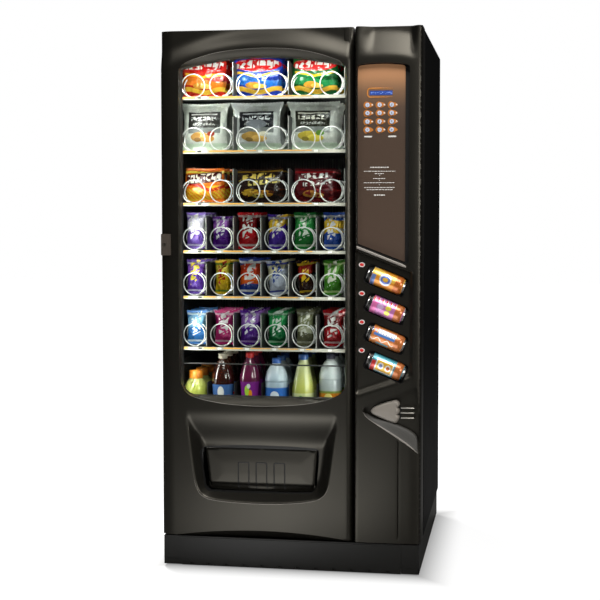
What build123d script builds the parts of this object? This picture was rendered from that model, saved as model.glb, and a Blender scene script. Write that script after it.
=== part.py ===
from build123d import *
import math
import os

# Snack vending machine. Millimetres, +Z up, front of the machine facing -Y, +X to the right of a
# person who stands in front of it. Origin: middle of the footprint, on the floor.

# ---- driving dimensions -------------------------------------------------------------------------
WIDTH, DEPTH, HEIGHT = 890.0, 900.0, 1830.0
HALF_W = WIDTH / 2
FRONT, BACK = -DEPTH / 2, DEPTH / 2
PLINTH_TOP = 104.0          # underside of the cabinet
DOOR_BOTTOM = 108.0
DOOR_BACK = -330.0          # rear face of the outer door
CAB_FRONT = -322.0          # front edge of the cabinet shell
SHELL = 20.0                # full thickness of the insulated cabinet wall
SHEET = 3.0                 # folded steel skin of that wall
SKIN = 4.0                  # moulded door skins

HINGE_X, HINGE_Y = 434.0, -337.0      # vertical pin axis of the outer door
HINGE_Z = (250.0, 960.0, 1700.0)
HINGE_PIN_R = 3.0

WIN_L, WIN_R = -377.0, 187.0          # window opening in the main fascia
WIN_BOTTOM, WIN_SIDE_TOP, WIN_CREST = 590.0, 1702.0, 1736.0
GLASS_FRONT, GLASS_T = -407.0, 6.0

FASCIA_R = 214.0                      # right edge of the main fascia
COLUMN_L = 222.0                      # left edge of the payment column

LINER_R = 212.0                       # right limit of the merchandise bay
DIVIDER_T = 14.0
LINER_FLOOR = 482.0

TRAY_L, TRAY_R = -421.0, 174.0
TRAY_FRONT, TRAY_REAR = -328.0, 180.0
RAIL_Z = (1613.0, 1427.0, 1245.0, 1080.0, 920.0, 741.0)   # tray 1 (top) to tray 6
COIL_X = (-366.0, -268.5, -171.0, -73.5, 24.0, 121.5)
LANE = 97.5
COIL_R = 38.0                         # mean radius of a spiral
WIRE_R = 2.0
COIL_UP = 45.5                        # spiral axis above the tray's rail line
COIL_REAR = 148.0
PITCH_SINGLE, PITCH_DOUBLE = 55.0, 70.0
BOTTLE_FLOOR = 498.0

PANEL_FRONT = -428.0                  # face of the control panel
KEY_X = (262.0, 302.5, 343.0)
KEY_Z = (1572.0, 1545.0, 1517.0, 1490.0)
KEY_R = 7.5
CAN_X, CAN_Z = 326.0, (990.0, 895.0, 796.0, 702.0)
CAN_R, CAN_L, CAN_TILT = 33.0, 134.0, 22.0
LED_X, LED_Z = 245.0, (1042.0, 946.0, 850.0, 755.0)
CAN_FLOOR = -420.0

FLAP_L, FLAP_R, FLAP_TOP, FLAP_BOTTOM = -308.0, 88.0, 401.0, 260.0
FLAP_PIN_Y, FLAP_PIN_Z, FLAP_PIN_R = -389.0, 395.0, 2.5
BIN_L, BIN_R, BIN_FLOOR, BIN_TOP, BIN_REAR = -400.0, 165.0, 236.0, 474.0, -240.0
BIN_FRONT = -395.0

LOCK_X, LOCK_Z = -432.0, 1106.5
FAN_X, FAN_Y, FAN_Z, FAN_R = 40.0, -120.0, 290.0, 118.0

os.makedirs("parts", exist_ok=True)


def front_plane(y):
    """Upright plane at depth y: local x is +X, local y is +Z, its normal looks out of the front."""
    return Plane.XZ.offset(-y)


def slab(x0, x1, y0, y1, z0, z1, mode=Mode.ADD):
    """Rectangular member between two corners, added to or cut from the open part."""
    with Locations(((x0 + x1) / 2, (y0 + y1) / 2, (z0 + z1) / 2)):
        Box(x1 - x0, y1 - y0, z1 - z0, mode=mode)


def rod(x, y0, y1, z, radius, mode=Mode.ADD):
    """Round member along Y."""
    with Locations(Location((x, (y0 + y1) / 2, z), (90, 0, 0))):
        Cylinder(radius, y1 - y0, mode=mode)


def arched(x0, x1, z0, z_side, z_crest, r_low, r_high):
    """Flat-bottomed outline with an arched top, as a face in the open sketch."""
    with BuildLine() as outline:
        Line((x0, z0), (x1, z0))
        Line((x1, z0), (x1, z_side))
        ThreePointArc((x1, z_side), ((x0 + x1) / 2, z_crest), (x0, z_side))
        Line((x0, z_side), (x0, z0))
    make_face(outline.edges())
    corners = vertices().group_by(Axis.Y)
    fillet(corners[0], r_low)
    fillet(vertices().group_by(Axis.Y)[-1], r_high)


def save(builder, name):
    builder.part.label = name
    export_step(builder.part, "parts/" + name + ".step")


# ================================= CABINET (fixed body) ==========================================

# Folded-steel cabinet: two sides, roof and floor around an open front and an open back.
with BuildPart() as cabinet_shell:
    with BuildSketch(front_plane(BACK - 5)):
        with Locations((0, (PLINTH_TOP + HEIGHT) / 2)):
            RectangleRounded(WIDTH, HEIGHT - PLINTH_TOP, 5)
            Rectangle(WIDTH - 2 * SHEET, HEIGHT - PLINTH_TOP - 2 * SHEET, mode=Mode.SUBTRACT)
    extrude(amount=BACK - 5 - CAB_FRONT)
save(cabinet_shell, "cabinet_shell")

# Rear cover with two banks of cooling louvres and the recess of the mains inlet.
with BuildPart() as rear_panel:
    slab(-441, 441, BACK - 5, BACK, PLINTH_TOP + 4, HEIGHT - 4)
    with BuildSketch(front_plane(BACK)):
        with Locations((-150, 300)):
            with GridLocations(150, 22, 3, 11):
                SlotOverall(120, 9)
        with Locations((-60, 1700)):
            with GridLocations(150, 22, 3, 4):
                SlotOverall(120, 9)
        with Locations((360, 190)):
            Rectangle(29, 22)
    extrude(amount=5, mode=Mode.SUBTRACT)
save(rear_panel, "rear_panel")

# Insulated liner: foam walls inside the steel skin, ribbed rear wall and floor of the merchandise
# bay, and the partition of the payment bay.
with BuildPart() as merch_liner:
    with BuildSketch(front_plane(430)):
        with Locations((0, (PLINTH_TOP + HEIGHT) / 2)):
            Rectangle(WIDTH - 2 * SHEET, HEIGHT - PLINTH_TOP - 2 * SHEET)
            Rectangle(WIDTH - 2 * SHELL, HEIGHT - PLINTH_TOP - 2 * SHELL, mode=Mode.SUBTRACT)
    extrude(amount=430 - CAB_FRONT)
    slab(-425, LINER_R, 262, 284, LINER_FLOOR, HEIGHT - SHELL)
    slab(-425, LINER_R, -330, 262, LINER_FLOOR, LINER_FLOOR + 12)
    slab(LINER_R, LINER_R + DIVIDER_T, -318, 430, PLINTH_TOP + SHELL, HEIGHT - SHELL)
    with Locations((-106.5, 259, (LINER_FLOOR + HEIGHT) / 2)):
        with GridLocations(26, 1, 24, 1):
            Box(9, 6, HEIGHT - LINER_FLOOR - 90)
save(merch_liner, "merch_liner")

# Base frame: welded ring with corner blocks and two cross members.
with BuildPart() as plinth_frame:
    with BuildSketch(Plane.XY.offset(24)):
        with Locations((0, -3)):
            Rectangle(880, 886)
            Rectangle(864, 870, mode=Mode.SUBTRACT)
    extrude(amount=PLINTH_TOP - 24)
    for y in (-300.0, 10.0, 320.0):
        slab(-432, 432, y - 3, y + 3, 60, PLINTH_TOP)
        slab(-432, 432, y - 20, y + 20, 100, PLINTH_TOP)
    with Locations((0, 0, 44)):
        with GridLocations(740, 740, 2, 2):
            Box(64, 64, 40)
    for side in (-1, 1):
        for y in (-370.0, 370.0):
            slab(side * 417 - 17, side * 417 + 17, y - 25, y + 25, 36, 44)
    with Locations((0, 0, 24)):
        with GridLocations(740, 740, 2, 2):
            Cylinder(6.1, 34, align=(Align.CENTER, Align.CENTER, Align.MIN), mode=Mode.SUBTRACT)
save(plinth_frame, "plinth_frame")

# Removable kick plate with a row of drain notches along its lower edge.
with BuildPart() as kick_plate:
    slab(-383, 380, -449, -446, 6, 100)
    with Locations((-3.5, -447.5, 11)):
        with GridLocations(61.7, 1, 12, 1):
            Box(12, 8, 6, mode=Mode.SUBTRACT)
save(kick_plate, "kick_plate")

# Four levelling feet: ribbed disc, lock nut and threaded stem.
with BuildPart() as levelling_feet:
    with BuildSketch(Plane.XY) as foot_disc:
        with GridLocations(740, 740, 2, 2):
            Circle(26)
    extrude(amount=10)
    with BuildSketch(Plane.XY.offset(10)):
        with GridLocations(740, 740, 2, 2):
            RegularPolygon(11, 6)
    extrude(amount=9)
    with BuildSketch(Plane.XY.offset(19)):
        with GridLocations(740, 740, 2, 2):
            Circle(6)
    extrude(amount=36)
    chamfer(levelling_feet.edges().group_by(Axis.Z)[0], 2)
save(levelling_feet, "levelling_feet")

# Three hinge brackets: leg on the inside of the cabinet wall, arm, knuckle and upright pin.
with BuildPart() as hinge_brackets:
    for z in HINGE_Z:
        slab(413, 425, CAB_FRONT, -270, z - 20, z)
        slab(413, 438, -331, CAB_FRONT - 1, z - 20, z)
        slab(413, 425, -323, CAB_FRONT, z - 20, z)
        with Locations((HINGE_X, HINGE_Y, z - 10)):
            Cylinder(5.0, 20)
        slab(430, 438, -337, -331, z - 20, z)
        with Locations((HINGE_X, HINGE_Y, z + 10)):
            Cylinder(HINGE_PIN_R, 20)
save(hinge_brackets, "hinge_brackets")


def tray(c, sides, rear):
    """Sheet tray: floor, two sides, rear wall with coupling holes and four support brackets."""
    slab(TRAY_L, TRAY_R, TRAY_FRONT, TRAY_REAR, c - 3, c - 1)
    slab(TRAY_L, TRAY_L + 2, TRAY_FRONT, TRAY_REAR, c - 1, c + sides)
    slab(TRAY_R - 2, TRAY_R, TRAY_FRONT, TRAY_REAR, c - 1, c + sides)
    slab(TRAY_L, TRAY_R, TRAY_REAR - 2, TRAY_REAR, c - 1, c + rear)
    for y in (-250.0, 120.0):
        slab(-425, TRAY_L, y - 20, y + 20, c - 6, c + 14)
        slab(TRAY_R, LINER_R, y - 20, y + 20, c - 6, c + 14)
    for x in COIL_X:
        rod(x, TRAY_REAR - 4, TRAY_REAR + 2, c + COIL_UP, 12, mode=Mode.SUBTRACT)


# Trays 1 to 3, whose lanes are two spirals wide.
with BuildPart() as wide_lane_trays:
    for c in RAIL_Z[:3]:
        tray(c, 70, 100)
save(wide_lane_trays, "wide_lane_trays")

# Trays 4 to 6, whose lanes hold one spiral each.
with BuildPart() as narrow_lane_trays:
    for c in RAIL_Z[3:]:
        tray(c, 70, 100)
save(narrow_lane_trays, "narrow_lane_trays")

# Bottle shelf: floor, sides, lane walls and the retaining bar across the front.
with BuildPart() as bottle_shelf:
    slab(-423, TRAY_R + 2, TRAY_FRONT, TRAY_REAR, LINER_FLOOR + 12, BOTTLE_FLOOR)
    slab(-423, -420, TRAY_FRONT, TRAY_REAR, BOTTLE_FLOOR, 696)
    slab(TRAY_R - 1, TRAY_R + 2, TRAY_FRONT, TRAY_REAR, BOTTLE_FLOOR, 696)
    for i in range(1, 6):
        x = COIL_X[0] - LANE / 2 + LANE * i
        slab(x - 1, x + 1, -316, TRAY_REAR - 10, BOTTLE_FLOOR, 620)
    with Locations(Location(((TRAY_R + 1 - 422) / 2, -324, 687), (0, 90, 0))):
        Cylinder(2.5, TRAY_R + 1 + 422)
save(bottle_shelf, "bottle_shelf")

# Lane dividers: thin plates that stand on the tray floors between the lanes.
with BuildPart() as lane_dividers:
    for row, c in enumerate(RAIL_Z):
        for i in (range(2, 6, 2) if row < 3 else range(1, 6)):
            x = COIL_X[0] - LANE / 2 + LANE * i
            with BuildSketch(Plane.YZ.offset(x - 1)):
                with BuildLine():
                    Polyline((-326, c - 1), (170, c - 1), (170, c + 70), (-290, c + 124), (-326, c + 124), (-326, c - 1))
                make_face()
            extrude(amount=2)
save(lane_dividers, "lane_dividers")

# Price rails: hooked strips along the tray fronts, each with its selection tabs.
with BuildPart() as price_rails:
    for row, c in enumerate(RAIL_Z):
        slab(-411, TRAY_R, -333, TRAY_FRONT, c - 6, c + 5)
        xs = COIL_X if row > 2 else [(COIL_X[k] + COIL_X[k + 1]) / 2 for k in (0, 2, 4)]
        for x in xs:
            slab(x - 14, x + 14, -334.5, -333, c - 5, c + 4)
    slab(-411, TRAY_R + 2, -333, TRAY_FRONT, 496, 507)
save(price_rails, "price_rails")

# Spiral motors: one geared motor behind each spiral, all six trays.
with BuildPart() as spiral_motors:
    for c in RAIL_Z:
        for x in COIL_X:
            slab(x - 28, x + 28, TRAY_REAR, 200, c + COIL_UP - 24, c + COIL_UP + 24)
            rod(x - 8, 200, 226, c + COIL_UP - 4, 14)
            rod(x, TRAY_REAR - 1, TRAY_REAR + 6, c + COIL_UP, 15, mode=Mode.SUBTRACT)
save(spiral_motors, "spiral_motors")


def coil(pitch, half_turns, hand):
    """Wire spiral about the Y axis at the origin: half-round arcs, rear arm and drive hub."""
    step = pitch / 2
    reach = math.hypot(COIL_R, step / 2)
    with BuildLine() as path:
        for i in range(half_turns):
            side = 1 if i % 2 == 0 else -1
            y0 = COIL_REAR - i * step
            ThreePointArc(
                (side * COIL_R, y0, 0),
                (0, y0 - step / 2, side * hand * reach),
                (-side * COIL_R, y0 - step, 0),
            )
    with BuildSketch(Plane(origin=path.line @ 0, z_dir=path.line % 0)) as section:
        Circle(WIRE_R)
    sweep(sections=section.sketch, path=path.line)
    slab(0, COIL_R + 1.5, COIL_REAR - 1.8, COIL_REAR + 1.8, -3, 3)
    rod(0, COIL_REAR - 3, TRAY_REAR + 3, 0, 8)


with BuildPart() as single_coil:
    coil(PITCH_SINGLE, 17, 1)
with BuildPart() as pair_coil_right:
    coil(PITCH_DOUBLE, 13, 1)
with BuildPart() as pair_coil_left:
    coil(PITCH_DOUBLE, 13, -1)


def coil_for(row, k):
    if row > 2:
        return single_coil.part
    return pair_coil_left.part if k % 2 == 0 else pair_coil_right.part


# Spirals of trays 1, 2, 5 and 6.
with BuildPart() as stored_spirals:
    for row in (0, 1, 4, 5):
        for k, x in enumerate(COIL_X):
            with Locations((x, 0, RAIL_Z[row] + COIL_UP)):
                add(coil_for(row, k))
save(stored_spirals, "stored_spirals")

# Spirals of trays 3 and 4, each a turning piece of its own.
for row in (2, 3):
    for k, x in enumerate(COIL_X):
        with BuildPart() as spiral:
            with Locations((x, 0, RAIL_Z[row] + COIL_UP)):
                add(coil_for(row, k))
        save(spiral, "tray%d_spiral_%d" % (row + 1, k + 1))

# Hermetic compressor on its sprung base plate.
with BuildPart() as compressor:
    slab(-370, -190, 150, 330, PLINTH_TOP + SHELL, PLINTH_TOP + SHELL + 6)
    with BuildSketch(Plane.XY.offset(143)):
        with Locations((-280, 240)):
            Circle(82)
    extrude(amount=185)
    fillet(compressor.edges().group_by(Axis.Z)[-1], 52)
    fillet(compressor.edges().filter_by(GeomType.CIRCLE).group_by(Axis.Z)[0], 16)
    slab(-365, -195, 155, 325, 138, 144)
    with Locations((-280, 240, 134)):
        with GridLocations(130, 130, 2, 2):
            Cylinder(10, 8)
    with Locations((-280, 240, 345)):
        Cylinder(5, 60)
save(compressor, "compressor")

# Finned condenser with its fan shroud, and the finned evaporator in the rear duct.
with BuildPart() as cooling_coils:
    slab(-110, 190, -196, -160, PLINTH_TOP + SHELL, 440)
    with Locations((FAN_X, -196, 282)):
        with GridLocations(6, 1, 46, 1):
            Box(3.4, 12, 286, mode=Mode.SUBTRACT)
    slab(FAN_X - 135, FAN_X + 135, -160, -96, PLINTH_TOP + SHELL, FAN_Z + 135)
    rod(FAN_X, -160, -96, FAN_Z, FAN_R + 7, mode=Mode.SUBTRACT)
    slab(FAN_X - 130, FAN_X + 130, -96, -90, FAN_Z - 12, FAN_Z + 12)
    rod(FAN_X, -104, -70, FAN_Z, 26)
    rod(FAN_X, FAN_Y + 4, -104, FAN_Z, 4)
    slab(-380, 180, 300, 380, 620, 820)
    with Locations((-100, 300, 720)):
        with GridLocations(8, 1, 66, 1):
            Box(4.5, 24, 176, mode=Mode.SUBTRACT)
    for x in (-300.0, 100.0):
        slab(x - 20, x + 20, 284, 300, 700, 740)
save(cooling_coils, "cooling_coils")

# Five-bladed condenser fan on its motor shaft.
with BuildPart() as fan_rotor:
    rod(FAN_X, -150, -106, FAN_Z, 28)
    for i in range(5):
        with Locations(Location((FAN_X, -128, FAN_Z), (0, 72 * i, 0)) * Location((68, 0, 0), (32, 0, 0))):
            Box(96, 3, 62)
    rod(FAN_X, -131, -99.5, FAN_Z, 4.06, mode=Mode.SUBTRACT)
save(fan_rotor, "fan_rotor")

# Coin changer on its wall bracket: body, funnel and coin tubes.
with BuildPart() as coin_mechanism:
    slab(LINER_R + DIVIDER_T, 262, -290, -220, 600, 960)
    slab(262, 392, -300, -214, 620, 980)
    slab(300, 370, -312, -300, 900, 960)
    for x in (285.0, 313.0, 341.0, 369.0):
        with Locations((x, -300, 740)):
            Cylinder(12, 180)
save(coin_mechanism, "coin_mechanism")

# Lift-out cash box on its shelf, open at the top.
with BuildPart() as cash_box:
    slab(LINER_R + DIVIDER_T, 425, -305, -80, 296, 300)
    slab(250, 400, -300, -90, 300, 430)
    slab(254, 396, -296, -94, 304, 431, mode=Mode.SUBTRACT)
    slab(290, 360, -306, -300, 380, 400)
save(cash_box, "cash_box")

# Control board: carrier plate, circuit board, transformer and connector blocks.
with BuildPart() as control_board:
    slab(LINER_R + DIVIDER_T, 400, -240, -236, 1180, 1600)
    slab(LINER_R + DIVIDER_T, LINER_R + DIVIDER_T + 4, -290, -240, 1180, 1600)
    slab(244, 392, -245, -240, 1200, 1580)
    slab(255, 325, -290, -245, 1215, 1290)
    for z in (1340.0, 1400.0, 1460.0, 1520.0):
        slab(260, 300, -257, -245, z, z + 24)
        slab(330, 380, -253, -245, z, z + 30)
save(control_board, "control_board")

# ================================= OUTER DOOR ====================================================

# Welded door frame: perimeter ring and mullion, notched and bored for the three hinge pins.
with BuildPart() as door_frame:
    with BuildSketch(front_plane(DOOR_BACK)):
        with Locations((0, (DOOR_BOTTOM + HEIGHT) / 2)):
            Rectangle(880, HEIGHT - DOOR_BOTTOM - 12)
        with Locations(((-413 + 205) / 2, (138 + 1798) / 2)):
            Rectangle(618, 1660, mode=Mode.SUBTRACT)
        with Locations(((232 + 408) / 2, (138 + 1798) / 2)):
            Rectangle(176, 1660, mode=Mode.SUBTRACT)
    extrude(amount=32)
    for z in HINGE_Z:
        slab(405, 446, -352, DOOR_BACK + 1, z - 22, z + 0.5, mode=Mode.SUBTRACT)
        with Locations((HINGE_X, HINGE_Y, z + 11.5)):
            Cylinder(HINGE_PIN_R + 0.06, 24, mode=Mode.SUBTRACT)
save(door_frame, "door_frame")

# Main fascia: moulded skin with returns, window surround, delivery scoop and fixing bosses.
with BuildPart() as main_fascia:
    slab(-HALF_W, FASCIA_R, FRONT, -347, DOOR_BOTTOM, HEIGHT)
    fillet(main_fascia.edges().filter_by(Axis.Z).sort_by(Axis.Y)[:2].sort_by(Axis.X)[:1], 24)
    slab(-HALF_W + SKIN, FASCIA_R - SKIN, FRONT + 22, -346, DOOR_BOTTOM + SKIN, HEIGHT - SKIN, mode=Mode.SUBTRACT)
    slab(-HALF_W + 24, FASCIA_R - SKIN, FRONT + SKIN, FRONT + 23, DOOR_BOTTOM + SKIN, HEIGHT - SKIN, mode=Mode.SUBTRACT)
    slab(FASCIA_R - SKIN - 1, FASCIA_R + 1, -400, -346, DOOR_BOTTOM - 1, HEIGHT + 1, mode=Mode.SUBTRACT)
    slab(204, FASCIA_R + 1, -364, -346, DOOR_BOTTOM - 1, HEIGHT + 1, mode=Mode.SUBTRACT)
    # window surround: a short tunnel from the skin to the glass
    with BuildSketch(front_plane(FRONT + SKIN)):
        arched(WIN_L - 6, WIN_R + 6, WIN_BOTTOM - 6, WIN_SIDE_TOP + 6, WIN_CREST + 6, 50, 30)
    extrude(amount=-(GLASS_FRONT - FRONT - SKIN))
    with BuildSketch(front_plane(FRONT - 1)):
        arched(WIN_L, WIN_R, WIN_BOTTOM, WIN_SIDE_TOP, WIN_CREST, 45, 25)
    extrude(amount=-60, mode=Mode.SUBTRACT)
    # delivery scoop: tapered basin that narrows to the flap opening
    with BuildSketch(front_plane(FRONT + 1)):
        with Locations(((-364 + 167) / 2, (222 + 511) / 2)):
            RectangleRounded(531, 289, 64)
    with BuildSketch(front_plane(BIN_FRONT)):
        with Locations(((-319 + 99) / 2, (250 + 410) / 2)):
            RectangleRounded(418, 160, 24)
    loft()
    with BuildSketch(front_plane(FRONT - 0.5)):
        with Locations(((-360 + 163) / 2, (226 + 507) / 2)):
            RectangleRounded(523, 281, 60)
    with BuildSketch(front_plane(BIN_FRONT + 0.5)):
        with Locations(((FLAP_L + FLAP_R) / 2, (FLAP_TOP + FLAP_BOTTOM) / 2)):
            RectangleRounded(FLAP_R - FLAP_L + 10, FLAP_TOP - FLAP_BOTTOM + 8, 20)
    loft(mode=Mode.SUBTRACT)
    # bosses that seat on the door frame
    for z in (160.0, 560.0, 960.0, 1360.0, 1790.0):
        rod(-427, FRONT + SKIN, -362, z, 8)
    for x in (-300.0, -95.0, 120.0):
        rod(x, FRONT + SKIN, -362, 1812, 8)
        rod(x, FRONT + SKIN, -362, 124, 8)
    # pocket of the lock plate
    slab(-441, -404, FRONT + 9.2, FRONT + 13, LOCK_Z - 42, LOCK_Z + 42)
    slab(-446, -409.5, FRONT - 1, FRONT + 9.2, LOCK_Z - 37, LOCK_Z + 37, mode=Mode.SUBTRACT)
    rod(LOCK_X, FRONT - 1, FRONT + 30, LOCK_Z, 9, mode=Mode.SUBTRACT)
save(main_fascia, "main_fascia")


def panel_outline(inset):
    """Arched outline of the control panel's recess, as a face in the open sketch."""
    g = inset
    with BuildLine() as outline:
        Polyline((228 + g, 1688 - g), (228 + g, 1110 + g), (405 - g, 1044 + g), (405 - g, 1680 - g))
        ThreePointArc((405 - g, 1680 - g), (309, 1711 - g), (228 + g, 1688 - g))
    make_face(outline.edges())


def outline_face(pts):
    """Straight-sided outline, as a face in the open sketch."""
    with BuildLine() as outline:
        Polyline(*pts, pts[0])
    make_face(outline.edges())


CAN_RECESS = [(232, 1078), (405, 1014), (405, 650), (232, 585)]
COIN_RECESS = [(247, 545), (268, 573), (320, 592), (407, 630), (432, 636), (432, 415), (407, 433), (367, 460), (306, 499), (262, 530)]

# Payment column: moulded skin with the recesses of the control panel, can buttons and coin entry.
with BuildPart() as column_fascia:
    slab(COLUMN_L, HALF_W, FRONT, -347, DOOR_BOTTOM, HEIGHT)
    slab(COLUMN_L + SKIN, HALF_W - SKIN, FRONT + SKIN, -346, DOOR_BOTTOM + SKIN, HEIGHT - SKIN, mode=Mode.SUBTRACT)
    slab(COLUMN_L - 1, COLUMN_L + SKIN + 1, -400, -346, DOOR_BOTTOM - 1, HEIGHT + 1, mode=Mode.SUBTRACT)
    slab(COLUMN_L - 1, COLUMN_L + 14, -364, -346, DOOR_BOTTOM - 1, HEIGHT + 1, mode=Mode.SUBTRACT)
    with BuildSketch(front_plane(FRONT + SKIN)):
        panel_outline(-3)
    extrude(amount=-(PANEL_FRONT + 6 - FRONT - SKIN))
    with BuildSketch(front_plane(FRONT + SKIN)):
        outline_face(CAN_RECESS)
        offset(amount=3, kind=Kind.INTERSECTION)
    extrude(amount=-(CAN_FLOOR + 3 - FRONT - SKIN))
    with BuildSketch(front_plane(FRONT + SKIN)):
        outline_face(COIN_RECESS)
        offset(amount=3, kind=Kind.INTERSECTION)
    extrude(amount=-25)
    with BuildSketch(front_plane(FRONT - 1)):
        panel_outline(0)
    extrude(amount=-(PANEL_FRONT + 3 - FRONT + 1), mode=Mode.SUBTRACT)
    slab(240, 376, -430, -400, 1132, 1664, mode=Mode.SUBTRACT)
    with BuildSketch(front_plane(FRONT - 1)):
        outline_face(CAN_RECESS)
    extrude(amount=-(CAN_FLOOR - FRONT + 1), mode=Mode.SUBTRACT)
    with BuildSketch(front_plane(FRONT - 1)):
        outline_face(COIN_RECESS)
    extrude(amount=-26, mode=Mode.SUBTRACT)
    for z in CAN_Z:
        rod(CAN_X, CAN_FLOOR - 1, CAN_FLOOR + 6, z, 6.4, mode=Mode.SUBTRACT)
    for z in LED_Z:
        rod(LED_X, CAN_FLOOR - 1, CAN_FLOOR + 6, z, 5.2, mode=Mode.SUBTRACT)
    slab(372.4, 378.6, -430, -415, 530, 566, mode=Mode.SUBTRACT)
    for z in (160.0, 380.0, 760.0, 1360.0, 1790.0):
        rod(425, FRONT + SKIN, -362, z, 8)
    for x in (290.0, 370.0):
        rod(x, FRONT + SKIN, -362, 1812, 8)
        rod(x, FRONT + SKIN, -362, 124, 8)
save(column_fascia, "column_fascia")

# Toughened window pane, seated on the rear of the window surround.
with BuildPart() as window_glass:
    with BuildSketch(front_plane(GLASS_FRONT)):
        arched(WIN_L - 16, WIN_R + 14, WIN_BOTTOM - 14, WIN_SIDE_TOP + 14, WIN_CREST + 14, 50, 30)
    extrude(amount=-GLASS_T)
save(window_glass, "window_glass")

# Control panel: thin face plate with key holes, display window and raised key surrounds.
with BuildPart() as control_panel:
    with BuildSketch(front_plane(PANEL_FRONT + 3)):
        with BuildLine():
            Line((229, 1116), (386, 1057))
            Line((386, 1057), (386, 1680))
            ThreePointArc((386, 1680), (309, 1704), (229, 1684))
            Line((229, 1684), (229, 1116))
        make_face()
    extrude(amount=3)
    with BuildSketch(front_plane(PANEL_FRONT)):
        for x in KEY_X:
            for z in KEY_Z:
                with BuildLine():
                    Line((x - 4, z + 12), (x + 5, z + 9))
                    ThreePointArc((x + 5, z + 9), (x + 14, z + 6), (x + 20, z - 1))
                    ThreePointArc((x + 20, z - 1), (x + 10, z - 7), (x - 4, z - 12))
                    ThreePointArc((x - 4, z - 12), (x - 13.5, z), (x - 4, z + 12))
                make_face()
    extrude(amount=1)
    for x in KEY_X:
        for z in KEY_Z:
            rod(x, PANEL_FRONT - 3, PANEL_FRONT + 4, z, KEY_R + 0.35, mode=Mode.SUBTRACT)
    slab(269, 345, PANEL_FRONT - 1, PANEL_FRONT + 4, 1604.5, 1619.5, mode=Mode.SUBTRACT)
save(control_panel, "control_panel")

# Twelve selection keys: domed cap, shank and retaining flange behind the panel.
n = 0
for z in KEY_Z:
    for x in KEY_X:
        n += 1
        with BuildPart() as key:
            rod(x, PANEL_FRONT - 6, PANEL_FRONT + 4, z, KEY_R)
            fillet(key.faces().sort_by(Axis.Y)[0].edges(), 1.5)
            rod(x, PANEL_FRONT + 3.6, PANEL_FRONT + 6, z, KEY_R + 2.5)
        save(key, "key_%02d" % n)

# Display: housing behind the panel with its screen standing in the panel's window.
with BuildPart() as display_module:
    slab(258, 354, PANEL_FRONT + 3, PANEL_FRONT + 20, 1596, 1630)
    slab(269.4, 344.6, PANEL_FRONT + 0.8, PANEL_FRONT + 3, 1605, 1619)
save(display_module, "display_module")

# Four drink buttons: the front of a can on a guided stem.
for i, z in enumerate(CAN_Z):
    with BuildPart() as can_button:
        with Locations(Location((CAN_X, -416, z), (0, 90 + CAN_TILT, 0))):
            Cylinder(CAN_R, CAN_L)
        chamfer(can_button.edges().filter_by(GeomType.CIRCLE), 3.5)
        with Locations((CAN_X, -400, z)):
            Box(200, 50, 130, mode=Mode.SUBTRACT)
        rod(CAN_X, -426, -408, z, 6)
        rod(CAN_X, -412, -409, z, 9)
    save(can_button, "can_button_%d" % (i + 1))

# Coin entry: fan-shaped bezel, three guide bars and the sweeping return ledge.
with BuildPart() as coin_entry:
    with BuildSketch(front_plane(-425)):
        with BuildLine():
            ThreePointArc((275, 553), (318, 577), (362, 589))
            ThreePointArc((362, 589), (371, 577), (366, 564))
            ThreePointArc((366, 564), (372, 551), (366, 538))
            ThreePointArc((366, 538), (369, 524), (359, 512))
            ThreePointArc((359, 512), (318, 527), (275, 553))
        make_face()
    extrude(amount=20)
    for z in (564.0, 548.0, 531.0):
        slab(379.5, 418, -440, -425, z - 2.5, z + 2.5)
    with BuildSketch(front_plane(-425)):
        with BuildLine():
            Spline((270, 531), (309, 504), (369, 465), (409, 438), (427, 426))
            Line((427, 426), (427, 466))
            Spline((427, 466), (396, 489), (346, 510), (290, 526))
            Line((290, 526), (270, 531))
        make_face()
    extrude(amount=14)
save(coin_entry, "coin_entry")

# Lock plate with the bore of its cylinder.
with BuildPart() as lock_plate:
    slab(-444, -410, FRONT, FRONT + 9, LOCK_Z - 36.5, LOCK_Z + 36.5)
    fillet(lock_plate.edges().filter_by(Axis.Y), 3)
    rod(LOCK_X, FRONT - 1, FRONT + 10, LOCK_Z, 7.08, mode=Mode.SUBTRACT)
save(lock_plate, "lock_plate")

# Lock cylinder with its key way and cam.
with BuildPart() as lock_barrel:
    rod(LOCK_X, FRONT + 0.4, FRONT + 34, LOCK_Z, 7)
    slab(LOCK_X - 0.8, LOCK_X + 0.8, FRONT, FRONT + 8, LOCK_Z - 4.5, LOCK_Z + 4.5, mode=Mode.SUBTRACT)
    slab(LOCK_X - 5, LOCK_X + 5, FRONT + 30, FRONT + 34, LOCK_Z - 26, LOCK_Z)
save(lock_barrel, "lock_barrel")

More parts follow.
